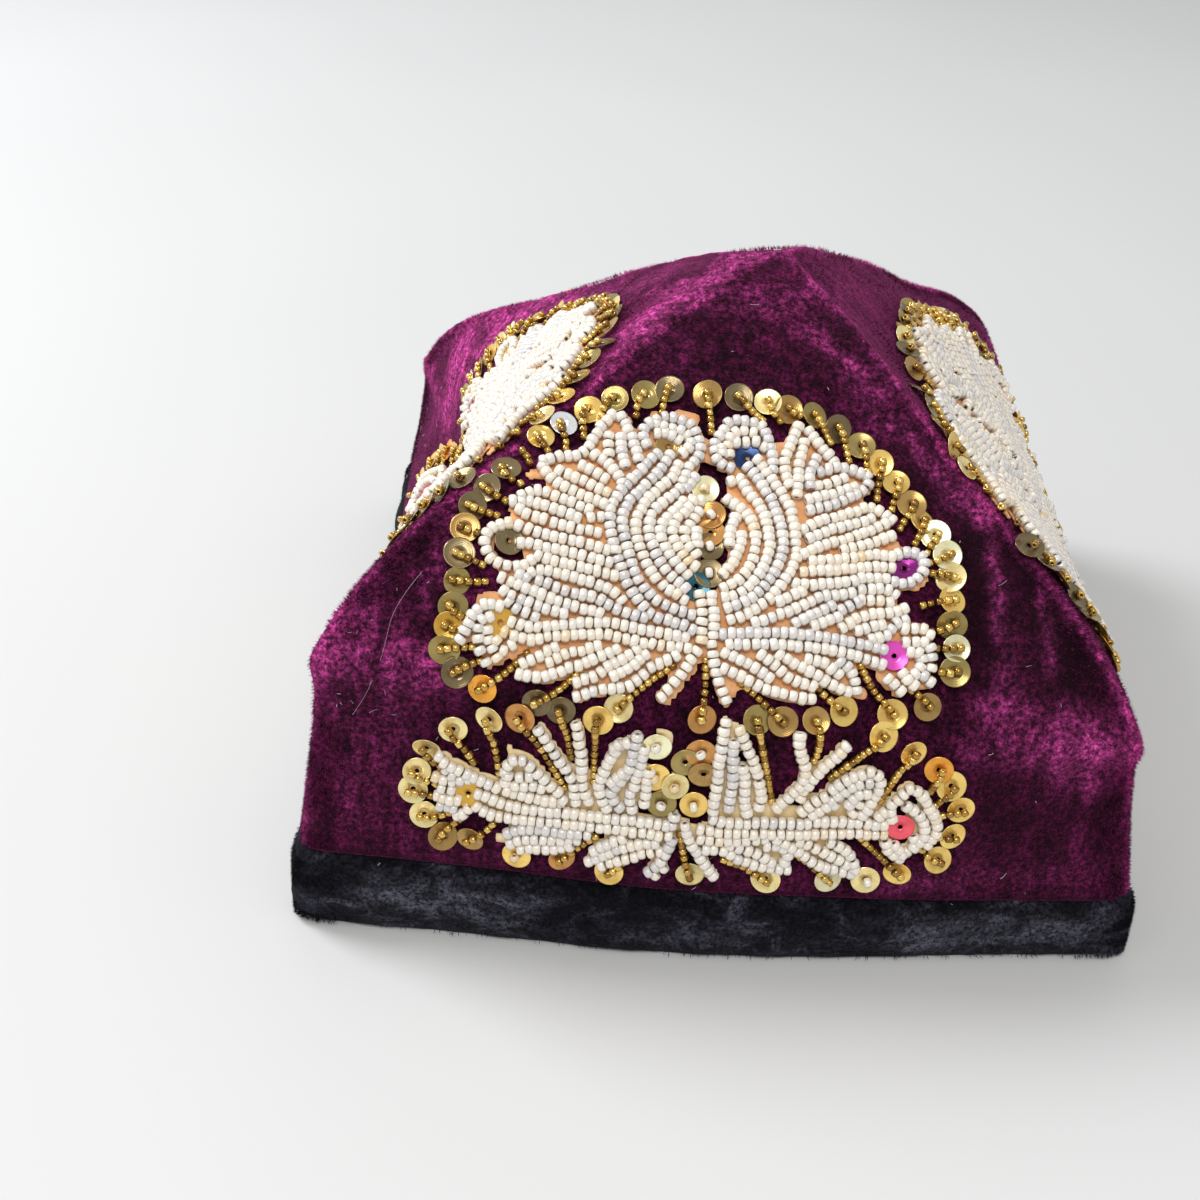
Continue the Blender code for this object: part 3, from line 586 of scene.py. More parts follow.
def skin(azimuth, run, lift=0.0):
    """Points of the skin, moved out by the lift."""
    azimuth, run, lift = np.broadcast_arrays(np.asarray(azimuth, float), run, lift)
    ring, middle, ridge, sharpness, share, tilt = table_rows(SKIN, run)
    quarter = np.pi / 2
    side = np.floor((azimuth + quarter / 2) / quarter).astype(int)
    across = azimuth - side * quarter
    square = (np.abs(np.cos(across)) ** sharpness + np.abs(np.sin(across)) ** sharpness) ** (1.0 / sharpness)
    tilt = np.radians(tilt)
    bulge = BULGE[side % 4] * share * ring * np.cos(2 * across)
    radius = (HALF_WIDTH * ring + lift * np.cos(tilt)) / square + bulge
    to_ridge = np.degrees(quarter / 2 - np.abs(across))
    rise = (ridge - middle) * np.exp(-((to_ridge / RIDGE_SPREAD) ** 2))
    twist = np.sin(2 * azimuth)
    level = np.minimum(middle / CREASE_HEIGHT, 1.0) * np.minimum(ring, 1.0)
    lean = np.minimum(middle / APEX_HEIGHT, 1.0) * np.maximum(1.0 - ring, 0.0)
    depth = np.maximum(np.cos(2 * across), 0.0) ** DENT_ROUNDNESS * (side % 4 == DENTED_SIDE)
    inward, down = table_rows(DENT, run)
    return np.stack((
        radius * np.cos(azimuth) + APEX_SHIFT[0] * lean + inward * depth,
        radius * np.sin(azimuth) + APEX_SHIFT[1] * lean,
        middle + rise + SADDLE * twist * np.minimum(1.3 * np.abs(twist), 1.0) * level + lift * np.sin(tilt)
        - down * depth,
    ), axis=-1)


def on_side(side, x, y, lift=0.0):
    """Points above a flattened side, kept in from its ridges."""
    run = CREASE_RUN + np.asarray(y, float)
    ring, _, _, _, share, _ = table_rows(SKIN, run)
    limit = np.maximum(HALF_WIDTH * ring - RIDGE_MARGIN, 0.1)
    out = np.maximum(HALF_WIDTH * ring + BULGE[side] * share * ring, 1.0)
    across = np.arctan2(np.clip(np.asarray(x, float), -limit, limit), out)
    return skin(side * np.pi / 2 + across, run, lift)


def unit(vectors):
    return vectors / np.maximum(np.linalg.norm(vectors, axis=-1, keepdims=True), 1e-9)


def seats(side, x, y, heading, lift):
    """Places and turned axes for small pieces: along the heading, across it and outward."""
    small = 0.2
    place = on_side(side, x, y, lift)
    right = on_side(side, x + small, y) - on_side(side, x - small, y)
    up = on_side(side, x, y + small) - on_side(side, x, y - small)
    outward = unit(np.cross(right, up))
    along = unit(unit(right) * np.cos(heading)[:, None] + unit(up) * np.sin(heading)[:, None])
    across = unit(np.cross(outward, along))
    return place, np.stack((along, across, outward), axis=1)


# Meshes

def add_object(name, mesh, material, nodes=(), smooth=True):
    """A piece of the cap that rides with it and may stand for nodes of the solids."""
    mesh.materials.append(material)
    if smooth:
        mesh.shade_smooth()
    piece = bpy.data.objects.new(name, mesh)
    bpy.context.scene.collection.objects.link(piece)
    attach(piece, "root")
    if nodes:
        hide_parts(*nodes)
    return piece


def mesh_of(name, points, faces):
    mesh = bpy.data.meshes.new(name)
    mesh.from_pydata((np.asarray(points) * METRES).tolist(), [], faces)
    return mesh


def grid_faces(rows, columns, ring=False, loop=False):
    """Faces of a grid whose points are listed row by row."""
    high = rows if loop else rows - 1
    wide = columns if ring else columns - 1
    i, j = np.divmod(np.arange(high * wide), wide)
    here = i * columns
    above = (i + 1) % rows * columns
    right = (j + 1) % columns
    return np.stack((here + j, here + right, above + right, above + j), axis=1)


def set_values(mesh, name, values, kind="FLOAT"):
    """A value for each point of the mesh, for its material to read."""
    layer = mesh.attributes.new(name, kind, "POINT")
    field = "value" if kind == "FLOAT" else "color"
    layer.data.foreach_set(field, np.asarray(values, np.float32).ravel())


def copies(name, shape, places, axes, sizes, material, nodes=(), tones=None, tints=None):
    """Many copies of one small shape as a single piece."""
    points, faces = shape
    spread = (points[None] * sizes[:, None, :]) @ axes + places[:, None, :]
    offsets = np.arange(len(places)) * len(points)
    all_faces = (faces[None] + offsets[:, None, None]).reshape(-1, faces.shape[1])
    mesh = mesh_of(name, spread.reshape(-1, 3), all_faces.tolist())
    if tones is not None:
        set_values(mesh, "tone", np.repeat(tones, len(points)))
    if tints is not None:
        set_values(mesh, "tint", np.repeat(tints, len(points), axis=0), "FLOAT_COLOR")
        flat = np.tile(points[:, :2], (len(places), 1))
        set_values(mesh, "from_middle", np.hypot(flat[:, 0], flat[:, 1]))
    return add_object(name, mesh, material, nodes)


def bead_shape(half_length, radius, sides, ends=2):
    """A seed bead: a round ring of glass whose hole runs along X."""
    shoulder = ((1.00, 0.54), (0.84, 0.84), (0.44, 1.00)) if ends > 2 else ((1.00, 0.60), (0.66, 0.97))
    end = ((0.72, 0.36),) + shoulder
    section = [(-a, b) for a, b in end] + [(a, b) for a, b in reversed(end)]
    angles = np.linspace(0, 2 * np.pi, sides, endpoint=False)
    points = [
        (half_length * a, radius * b * math.cos(t), radius * b * math.sin(t))
        for a, b in section
        for t in angles
    ]
    faces = grid_faces(len(section), sides, ring=True)
    return np.array(points), faces[:, ::-1]


def sequin_shape(radius, hole, sides):
    """A thin dished disc with a hole, seen from both faces."""
    section = (
        # radius, height
        (hole, 0.10),
        (radius * 0.55, 0.10),
        (radius * 0.92, 0.24),
        (radius, 0.30),
        (radius, 0.20),
        (radius * 0.92, 0.12),
        (radius * 0.55, -0.02),
        (hole, -0.02),
    )
    angles = np.linspace(0, 2 * np.pi, sides, endpoint=False)
    points = [(r * math.cos(t), r * math.sin(t), h) for r, h in section for t in angles]
    faces = grid_faces(len(section), sides, ring=True, loop=True)
    return np.array(points), faces[:, ::-1]


# Rows of beads

def follow(points, pitch):
    """Even places and headings along a smooth curve through charted points."""
    points = np.asarray(points, float)
    padded = np.vstack((2 * points[0] - points[1], points, 2 * points[-1] - points[-2]))
    t = np.linspace(0, 1, 24, endpoint=False)[:, None]
    parts = []
    for a, b, c, d in zip(padded, padded[1:], padded[2:], padded[3:]):
        bend = (2 * a - 5 * b + 4 * c - d) * t**2
        parts.append(0.5 * (2 * b + (c - a) * t + bend + (3 * b - a - 3 * c + d) * t**3))
    curve = np.vstack(parts + [points[-1:]])
    way = np.concatenate(([0.0], np.cumsum(np.linalg.norm(np.diff(curve, axis=0), axis=1))))
    count = max(int(round(way[-1] / pitch)) + 1, 2)
    even = np.linspace(0, way[-1], count)
    x = np.interp(even, way, curve[:, 0])
    y = np.interp(even, way, curve[:, 1])
    heading = np.arctan2(np.gradient(y), np.gradient(x))
    return x, y, heading


def sewn_at(kind, side):
    """How the chart is mirrored and moved to where a side carries it."""
    flip = -1.0 if SIDE_NAMES[side] in MIRRORED else 1.0
    return flip, SEWN_AT[kind][SIDE_NAMES[side]] - flip * SEWN_AT[kind]["front"]


def charted(row, flip, shift):
    """The points of a row of the chart, on the side that carries it."""
    return np.reshape(row, (-1, 2)) * (flip, 1.0) + (shift, 0.0)


def white_beads(side, kind, rows, studs, material):
    """The sewn rows of white beads, which stand for the solid bead field."""
    flip, shift = sewn_at(kind, side)
    name = SIDE_NAMES[side]
    dice = np.random.default_rng(100 + side)
    sewn = []
    for row in rows:
        x, y, heading = follow(charted(row, flip, shift), BEAD_PITCH)
        tone = dice.choice(ROW_TONES) + dice.normal(0, 0.13, len(x))
        sewn.append((x, y, heading, np.clip(tone, 0.0, 1.0)))
    sewn = np.hstack(sewn)
    kept = np.ones(sewn.shape[1], bool)
    for x, y, _, _, room in studs:
        kept &= np.hypot(sewn[0] - flip * x - shift, sewn[1] - y) > room - 1e-6
    x, y, heading, tone = sewn[:, kept]
    count = len(x)
    x = x + dice.normal(0, 0.06, count)
    y = y + dice.normal(0, 0.06, count)
    heading = heading + dice.normal(0, 0.10, count)
    lift = CARD_TOP + BEAD_RADIUS * 0.92 + dice.normal(0, 0.09, count)
    places, axes = seats(side, x, y, heading, lift)
    sizes = 1.0 + dice.normal(0, 0.045, (count, 3))
    sides, ends = {"front": (8, 3), "back": (6, 2)}.get(name, (7, 2))
    shape = bead_shape(BEAD_HALF_LENGTH, BEAD_RADIUS, sides, ends)
    nodes = (f"{kind}_{name}",)
    copies(f"{kind}_beads_{name}", shape, places, axes, sizes, material, nodes, tones=tone)


def card(side, kind, rows, extra, material):
    """The card under the beads, cut a little wider than the rows sewn over it."""
    flip, shift = sewn_at(kind, side)
    sewn = np.hstack([follow(charted(row, flip, shift), 0.5)[:2] for row in rows + extra]).T
    low = sewn.min(axis=0) - 2.5
    high = sewn.max(axis=0) + 2.5
    x = np.arange(low[0], high[0], CARD_CELL)
    y = np.arange(low[1], high[1], CARD_CELL)
    spots = np.stack(np.meshgrid(x, y), axis=-1)
    nearest = np.full(spots.shape[:2], 1e9)
    for part in np.array_split(sewn, max(len(sewn) // 200, 1)):
        away = np.linalg.norm(spots[:, :, None] - part[None, None], axis=-1).min(axis=-1)
        nearest = np.minimum(nearest, away)
    slope_y, slope_x = np.gradient(nearest, CARD_CELL)
    inside = nearest < CARD_REACH[kind] + 0.75 * CARD_CELL
    over = np.maximum(nearest - CARD_REACH[kind], 0.0)
    length = np.maximum(np.hypot(slope_x, slope_y), 0.3)
    spots = spots - np.stack((slope_x, slope_y), axis=-1) * (over / length)[..., None]
    faces = grid_faces(len(y), len(x))
    kept = faces[inside.ravel()[faces].all(axis=1)]
    used, packed = np.unique(kept, return_inverse=True)
    flat = spots.reshape(-1, 2)[used]
    top = on_side(side, flat[:, 0], flat[:, 1], CARD_TOP)
    mesh = mesh_of(f"{kind}_card_{SIDE_NAMES[side]}", top, packed.reshape(kept.shape).tolist())
    piece = add_object(mesh.name, mesh, material)
    thick = piece.modifiers.new("thickness", "SOLIDIFY")
    thick.thickness = CARD_THICKNESS * METRES
    thick.offset = -1.0


def film_colour(name, finish):
    """The colour of a sequin's film, which differs on some sides from the front's."""
    return SEQUIN_FINISH[finish if name == "front" else OTHER_SIDES.get(finish, finish)]


def gold_and_sequins(side, kind, strings, studs, gold, sequin, bead):
    """Strings of gold beads that end on sequins, and the sequins held by one bead."""
    flip, shift = sewn_at(kind, side)
    name = SIDE_NAMES[side]
    dice = np.random.default_rng(200 + side + (10 if kind == "spray" else 0))
    strung, discs, tints, leans, stops = [], [], [], [], []
    for *ends, finish in strings:
        ends = charted(ends, flip, shift)
        way_x, way_y, heading = follow(ends, GOLD_PITCH)
        bow = np.sin(np.linspace(0, np.pi, len(way_x))) * dice.normal(0, 0.25)
        turned = heading + dice.normal(0, 0.12, len(way_x))
        reach = np.hypot(way_x - ends[1][0], way_y - ends[1][1])
        lift = 0.75 + 0.85 * np.clip(1.0 - (reach - 1.5) / 2.5, 0, 1)
        strung.append((way_x - bow * np.sin(heading), way_y + bow * np.cos(heading), turned, lift))
        discs.append((*ends[1], 0.55 + 0.2 * dice.random()))
        tints.append(film_colour(name, finish))
        leans.append(dice.normal(0, 0.19, 2))
    for x, y, finish, stop, _ in studs:
        place = charted((x, y), flip, shift)[0]
        discs.append((*place, 0.95 + 0.15 * dice.random()))
        tints.append(film_colour(name, finish))
        leans.append(dice.normal(0, 0.08, 2))
        if stop != "none":
            stops.append((*place, 1.0 if stop == "tan" else 0.4))

    x, y, heading, lift = np.hstack(strung)
    places, axes = seats(side, x, y, heading, lift)
    sizes = 1.0 + dice.normal(0, 0.06, (len(x), 3))
    shape = bead_shape(GOLD_HALF_LENGTH, GOLD_RADIUS, sides=6)
    tones = dice.random(len(x))
    copies(f"{kind}_gold_{name}", shape, places, axes, sizes, gold, tones=tones)

    x, y, lift = np.transpose(discs)
    heading = dice.random(len(x)) * 2 * np.pi
    places, axes = seats(side, x, y, heading, lift)
    for i, (lean_a, lean_b) in enumerate(leans):
        tip = Matrix.Rotation(lean_a, 3, "X") @ Matrix.Rotation(lean_b, 3, "Y")
        axes[i] = np.array(tip) @ axes[i]
    tints = np.array([(*tint, 1.0) for tint in tints])
    tints[:, :3] *= dice.uniform(0.85, 1.12, (len(x), 1))
    shape = sequin_shape(SEQUIN_RADIUS, SEQUIN_HOLE, sides=24 if name == "front" else 14)
    sizes = np.repeat(dice.uniform(0.95, 1.08, (len(x), 1)), 3, axis=1)
    discs_name = f"{kind}_sequin_discs_{name}"
    nodes = (f"{kind}_sequins_{name}",)
    copies(discs_name, shape, places, axes, sizes, sequin, nodes, tints=tints)

    x, y, tones = np.transpose(stops)
    heading = dice.random(len(x)) * 2.4
    places, axes = seats(side, x, y, heading, np.full(len(x), STOP_LIFT))
    sizes = np.full((len(x), 3), 0.82)
    shape = bead_shape(BEAD_HALF_LENGTH, BEAD_RADIUS, sides=8, ends=3)
    copies(f"{kind}_stops_{name}", shape, places, axes, sizes, bead, tones=tones)


# Velvet

def bumpy(points, size, depth, seed):
    """Smooth unevenness of a cloth surface."""
    values = [noise.noise(Vector(point) / size + Vector((seed, 0.0, 0.0))) for point in points.tolist()]
    return depth * np.array(values)


def flattened(azimuth, run):
    """The side and the flattened x and y of places on the skin."""
    ring = table_rows(SKIN, run)[0]
    side = np.floor((azimuth + np.pi / 4) / (np.pi / 2)).astype(int)
    across = azimuth - side * np.pi / 2
    return side % 4, np.tan(across) * HALF_WIDTH * ring, run - CREASE_RUN


def stroke_mask(strokes, side, x, y):
    """How strongly strokes charted on the sides mark each place."""
    mask = np.zeros(x.shape)
    for name, x0, y0, x1, y1, width, strength in strokes:
        step = np.array((x1 - x0, y1 - y0))
        along = np.clip(((x - x0) * step[0] + (y - y0) * step[1]) / max(step @ step, 1e-6), 0, 1)
        away = np.hypot(x - x0 - along * step[0], y - y0 - along * step[1])
        stroke = strength * np.exp(-((away / width) ** 2)) * (side == SIDE_NAMES.index(name))
        mask = np.maximum(mask, stroke)
    return mask


def pile_marks(azimuth, run):
    """Masks of painted highlight on ridges and fold, rubbed pile with painted sheen, flat pile with painted
    shade.
    """
    side, x, y = flattened(azimuth, run)
    to_ridge = HALF_WIDTH * table_rows(SKIN, run)[0] - np.abs(x)
    # The fold of the crease: raised a little, and lit with painted highlight.
    fold = np.exp(-(((y + 0.5) / 2.2) ** 2)) * np.clip((np.abs(x) - 34.0) / 20.0, 0, 1)
    # A painted shadow line where the band meets the hem, kept free of painted highlight.
    seam_shadow = np.exp(-(((run - HEM_TOP) / 1.1) ** 2))
    return {
        # Ridge lines: raised a little, and lit with painted highlight.
        "crest": np.exp(-((to_ridge / 1.3) ** 2)) * np.clip((y + 5.0) / 5.0, 0.5, 1) * (1.0 - seam_shadow),
        "fold": fold,
        "brushed": stroke_mask(BRUSHED_AND_SHEEN, side, x, y) * (1.0 - seam_shadow),
        "pressed": np.maximum(stroke_mask(PRESSED_AND_SHADE, side, x, y), seam_shadow),
    }


def velvet_body(material, back):
    """The outside of the crown and band as one fine skin, and the inside of the cloth."""
    columns = VELVET_COLUMNS
    rows = 104
    azimuth = np.pi / 4 + np.linspace(0, 2 * np.pi, columns, endpoint=False)
    runs = np.concatenate(([HEM_TOP - 0.5, HEM_TOP + 0.1], np.linspace(HEM_TOP + 0.6, 138.2, rows)))
    lifts = np.concatenate(([-0.9, -0.1], np.zeros(rows)))
    grid_azimuth, grid_run = np.meshgrid(azimuth, runs)
    lift = np.repeat(lifts[:, None], columns, axis=1)
    outside = skin(grid_azimuth, grid_run, lift).reshape(-1, 3)
    wave = bumpy(outside, 16.0, 0.6, 3.0) + bumpy(outside, 5.0, 0.25, 8.0) + bumpy(outside, 1.8, 0.18, 12.0)
    calm = np.repeat(np.clip((runs - HEM_TOP) / 4.0, 0.15, 1.0), columns)
    marks = pile_marks(grid_azimuth.ravel(), grid_run.ravel())
    raised = wave * calm - 0.3 + FOLD_RISE * marks["fold"] + CREST_RISE * marks["crest"]
    moved = skin(grid_azimuth, grid_run, lift + raised.reshape(lift.shape)).reshape(-1, 3)

    faces = grid_faces(len(runs), columns, ring=True)
    tip = len(moved)
    points = np.vstack((moved, skin(0.0, TIP_RUN)[None]))
    last = (len(runs) - 1) * columns
    cap = [(last + j, last + (j + 1) % columns, tip) for j in range(columns)]
    mesh = mesh_of("crown_velvet", points, faces.tolist() + cap)
    for name, values in marks.items():
        set_values(mesh, name, np.append(values, 0.3))
    nodes = ["gore_" + name for name in SIDE_NAMES] + ["band"]
    add_object("crown_velvet", mesh, material, nodes)

    columns = 128
    azimuth = np.linspace(0, 2 * np.pi, columns, endpoint=False) + np.pi / 4
    runs = np.concatenate(([HEM_TOP + 0.4], np.linspace(HEM_TOP + 1.0, 137.0, 36)))
    grid_azimuth, grid_run = np.meshgrid(azimuth, runs)
    inside = skin(grid_azimuth, grid_run, -CLOTH_THICKNESS).reshape(-1, 3)
    rim = skin(azimuth, HEM_TOP + 0.4, -0.8)
    points = np.vstack((rim, inside, skin(0.0, TIP_RUN, -CLOTH_THICKNESS)[None]))
    faces = grid_faces(len(runs) + 1, columns, ring=True)[:, ::-1]
    last = len(runs) * columns
    cap = [(last + (j + 1) % columns, last + j, len(points) - 1) for j in range(columns)]
    mesh = mesh_of("crown_inside", points, faces.tolist() + cap)
    add_object("crown_inside", mesh, back)


def nap(name, count, lowest, highest, lift, size, material, seed):
    """Short tufts of pile that stand off the cloth, many of them along the ridges."""
    dice = np.random.default_rng(seed)
    run = lowest + (highest - lowest) * dice.random(3 * count)
    run = run[dice.random(3 * count) < table_rows(SKIN, run)[0] / 1.08][:count]
    count = len(run)
    side = dice.integers(0, 4, count)
    spread = dice.uniform(-1.0, 1.0, count)
    edge = np.sign(spread) * (1.0 - np.minimum(np.abs(dice.normal(0, 0.05, count)), 1.0))
    on_edge = dice.random(count) < 0.6 * table_rows(SKIN, run)[0]
    azimuth = side * np.pi / 2 + np.arctan(np.where(on_edge, edge, spread))
    marks = pile_marks(azimuth, run)
    root = skin(azimuth, run, lift + FOLD_RISE * marks["fold"] + CREST_RISE * marks["crest"])
    step = 0.4
    right = unit(skin(azimuth + 0.01, run) - skin(azimuth - 0.01, run))
    up = unit(skin(azimuth, run + step) - skin(azimuth, run - step))
    outward = unit(np.cross(right, up))
    patch = bumpy(root, 9.0, 1.0, seed + 0.5)[:, None]
    turn = dice.normal(0, 0.9, count)[:, None]
    lean = (-0.45 + 1.1 * patch) * up + (0.55 * turn + 0.5 * patch) * right
    length = size * dice.uniform(0.5, 1.25, count)[:, None]
    tip = root + length * unit(outward + lean)
    half = TUFT_HALF_WIDTH * unit(np.cos(turn) * right + np.sin(turn) * up)
    points = np.stack((root - half, root + half, tip), axis=1).reshape(-1, 3)
    faces = np.arange(3 * count).reshape(-1, 3).tolist()
    mesh = mesh_of(name, points, faces)
    for mark, values in marks.items():
        set_values(mesh, mark, np.repeat(values, 3))
    add_object(name, mesh, material, smooth=False)


def hem_body(material):
    """The padded black edging, wavy along its foot as sewn cloth is."""
    section = (
        # run, lift, share of the unevenness
        (0.0, -3.2, 0.0),
        (0.0, -1.9, 0.0),
        (0.0, -0.7, 0.1),
        (0.3, 0.0, 0.4),
        (1.0, 0.5, 0.8),
        (2.2, 0.85, 1.0),
        (3.6, 1.0, 1.0),
        (5.2, 1.05, 1.0),
        (7.0, 1.05, 1.0),
        (8.8, 1.05, 1.0),
        (10.4, 1.0, 1.0),
        (11.8, 0.9, 1.0),
        (12.9, 0.65, 0.8),
        (13.7, 0.25, 0.5),
        (14.2, -0.4, 0.2),
        (14.35, -1.4, 0.0),
        (14.3, -2.9, 0.0),
        (11.5, -3.8, 0.2),
        (6.0, -3.9, 0.3),
        (1.0, -3.8, 0.2),
    )
    columns = VELVET_COLUMNS
    azimuth = np.linspace(0, 2 * np.pi, columns, endpoint=False) + np.pi / 4
    table = np.array(section)
    grid_azimuth, run = np.meshgrid(azimuth, table[:, 0])
    lift = np.repeat(table[:, 1:2], columns, axis=1)
    share = np.repeat(table[:, 2:3], columns, axis=1)
    plain = skin(grid_azimuth, run, lift).reshape(-1, 3)
    wave = bumpy(plain, 13.0, 0.75, 21.0) + bumpy(plain, 4.0, 0.45, 25.0) + bumpy(plain, 1.8, 0.2, 27.0)
    points = skin(grid_azimuth, run, lift + share * wave.reshape(lift.shape)).reshape(-1, 3)
    faces = grid_faces(len(table), columns, ring=True, loop=True)
    mesh = mesh_of("hem_velvet", points, faces.tolist())
    for name, values in pile_marks(grid_azimuth.ravel(), run.ravel()).items():
        set_values(mesh, name, values)
    add_object("hem_velvet", mesh, material, ("hem",))


def lint(material):
    """A long pale hair and short fibres caught in the pile."""
    curve = bpy.data.curves.new("lint", "CURVE")
    curve.dimensions = "3D"
    curve.bevel_depth = LINT_RADIUS * METRES
    curve.bevel_resolution = 0
    front = SIDE_NAMES.index("front")
    hair = ((-52.7, 14.0), (-54.8, 10.4), (-56.6, 6.6), (-58.0, 1.4), (-60.4, -3.0), (-63.5, -7.0))
    fibres = [(front, follow(hair, 1.2)[:2])]
    spots = [(front, chance.uniform(-67.0, -56.0), chance.uniform(-7.0, 6.0)) for _ in range(16)]
    while len(spots) < 150:
        side = chance.choice((front, front, front, 0, 1, 2))
        y = chance.uniform(-44.0, 84.0)
        half = 64.0 * min(1.0, 1.0 - y / 92.0)
        x = chance.uniform(-66.0, 66.0)
        if abs(x) < half:
            spots.append((side, x, y))
    for side, x, y in spots:
        turn = chance.uniform(0, math.pi)
        length = chance.choice((0.4, 0.5, 0.7, 0.9, 1.6))
        bend = chance.uniform(-0.5, 0.5)
        along = np.linspace(-0.5, 0.5, 5) * length
        arc = bend * (along**2) / max(length, 1.0)
        fibre_x = x + along * math.cos(turn) - arc * math.sin(turn)
        fibre_y = y + along * math.sin(turn) + arc * math.cos(turn)
        fibres.append((side, (fibre_x, fibre_y)))
    for side, (x, y) in fibres:
        points = on_side(side, x, y, 0.55) * METRES
        spline = curve.splines.new("POLY")
        spline.points.add(len(points) - 1)
        spline.points.foreach_set("co", np.hstack((points, np.ones((len(points), 1)))).ravel())
    curve.materials.append(material)
    piece = bpy.data.objects.new("lint", curve)
    bpy.context.scene.collection.objects.link(piece)
    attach(piece, "root")


# Materials

def new_material(name):
    made = bpy.data.materials.new(name)
    made.use_nodes = True
    return made, made.node_tree, made.node_tree.nodes["Principled BSDF"]


def join(tree, value, socket):
    """Links a socket to the output of another node, or sets its value."""
    if isinstance(value, bpy.types.NodeSocket):
        tree.links.new(value, socket)
    else:
        socket.default_value = value


def node(tree, kind, label, **settings):
    """A node whose sockets and settings are given by name, a space written as _."""
    made = tree.nodes.new(kind)
    made.label = label
    for key, value in settings.items():
        socket = key.replace("_", " ")
        if socket in made.inputs:
            join(tree, value, made.inputs[socket])
        else:
            setattr(made, key, value)
    return made


def dress(tree, shader, **settings):
    """Sets or links the shader's own sockets."""
    for key, value in settings.items():
        join(tree, value, shader.inputs[key.replace("_", " ")])


def use_group(tree, group, **settings):
    return node(tree, "ShaderNodeGroup", group.name, node_tree=group, **settings).outputs


def place_on_piece(tree):
    return node(tree, "ShaderNodeTexCoord", "place").outputs["Object"]


def uneven(tree, label, place, **settings):
    return node(tree, "ShaderNodeTexNoise", label, Vector=place, **settings).outputs["Fac"]


def bump(tree, label, height, strength, distance):
    made = node(tree, "ShaderNodeBump", label, Height=height, Strength=strength, Distance=distance)
    return made.outputs["Normal"]


def greys(*stops):
    return [(place, (value, value, value)) for place, value in stops]


def ramp(tree, label, source, stops):
    made = node(tree, "ShaderNodeValToRGB", label, Fac=source)
    elements = made.color_ramp.elements
    while len(elements) < len(stops):
        elements.new(0.5)
    for element, (place, colour) in zip(elements, stops):
        element.position = place
        element.color = (*colour, 1.0)
    return made.outputs["Color"]


def mix_colour(tree, label, factor, a, b, blend="MIX"):
    made = node(tree, "ShaderNodeMix", label, data_type="RGBA", blend_type=blend)
    for socket, value in ((0, factor), (6, a), (7, b)):
        join(tree, value, made.inputs[socket])
    return made.outputs[2]


def work_out(tree, label, operation, *values):
    made = node(tree, "ShaderNodeMath", label, operation=operation)
    for socket, value in zip(made.inputs, values):
        join(tree, value, socket)
    return made.outputs["Value"]


def attribute(tree, name, output="Fac"):
    return node(tree, "ShaderNodeAttribute", name, attribute_name=name).outputs[output]


def pile_group():
    """Velvet pile: leaning nap in blotches, tufts, and the grain of single hairs."""
    group = bpy.data.node_groups.new("velvet pile", "ShaderNodeTree")
    for name, kind, value in (
        ("Blotch Size", "NodeSocketFloat", 60.0),
        ("Tuft Size", "NodeSocketFloat", 700.0),
        ("Stretch", "NodeSocketVector", (1.0, 1.0, 0.45)),
    ):
        group.interface.new_socket(name, in_out="INPUT", socket_type=kind).default_value = value
    for name in ("Nap", "Patches", "Tufts", "Streaks", "Height"):
        group.interface.new_socket(name, in_out="OUTPUT", socket_type="NodeSocketFloat")
    given = group.nodes.new("NodeGroupInput").outputs
    result = group.nodes.new("NodeGroupOutput").inputs
    place = place_on_piece(group)
    drawn_out = node(group, "ShaderNodeVectorMath", "nap drawn out", operation="MULTIPLY")
    join(group, place, drawn_out.inputs[0])
    join(group, given["Stretch"], drawn_out.inputs[1])
    nap_place = drawn_out.outputs["Vector"]
    brush = node(group, "ShaderNodeMapping", "brushing runs down the sides", Vector=place)
    brush.inputs["Scale"].default_value = (1.0, 1.0, 0.14)
    blotches = uneven(group, "blotches", nap_place, Scale=given["Blotch Size"], Detail=4.0, Roughness=0.6,
                      Distortion=0.8)
    tufts = uneven(group, "tufts", place, Scale=given["Tuft Size"], Detail=3.0, Roughness=0.75)
    hairs = uneven(group, "hairs", place, Scale=3200.0, Detail=2.0, Roughness=0.7)
    streaks = uneven(group, "streaks", brush.outputs["Vector"], Scale=420.0, Detail=3.0, Roughness=0.6)
    join(group, blotches, result["Nap"])
    join(group, ramp(group, "patches", blotches, greys((0.41, 0.15), (0.61, 0.92))), result["Patches"])
    join(group, tufts, result["Tufts"])
    join(group, streaks, result["Streaks"])
    join(group, work_out(group, "pile height", "ADD", tufts, hairs), result["Height"])
    return group


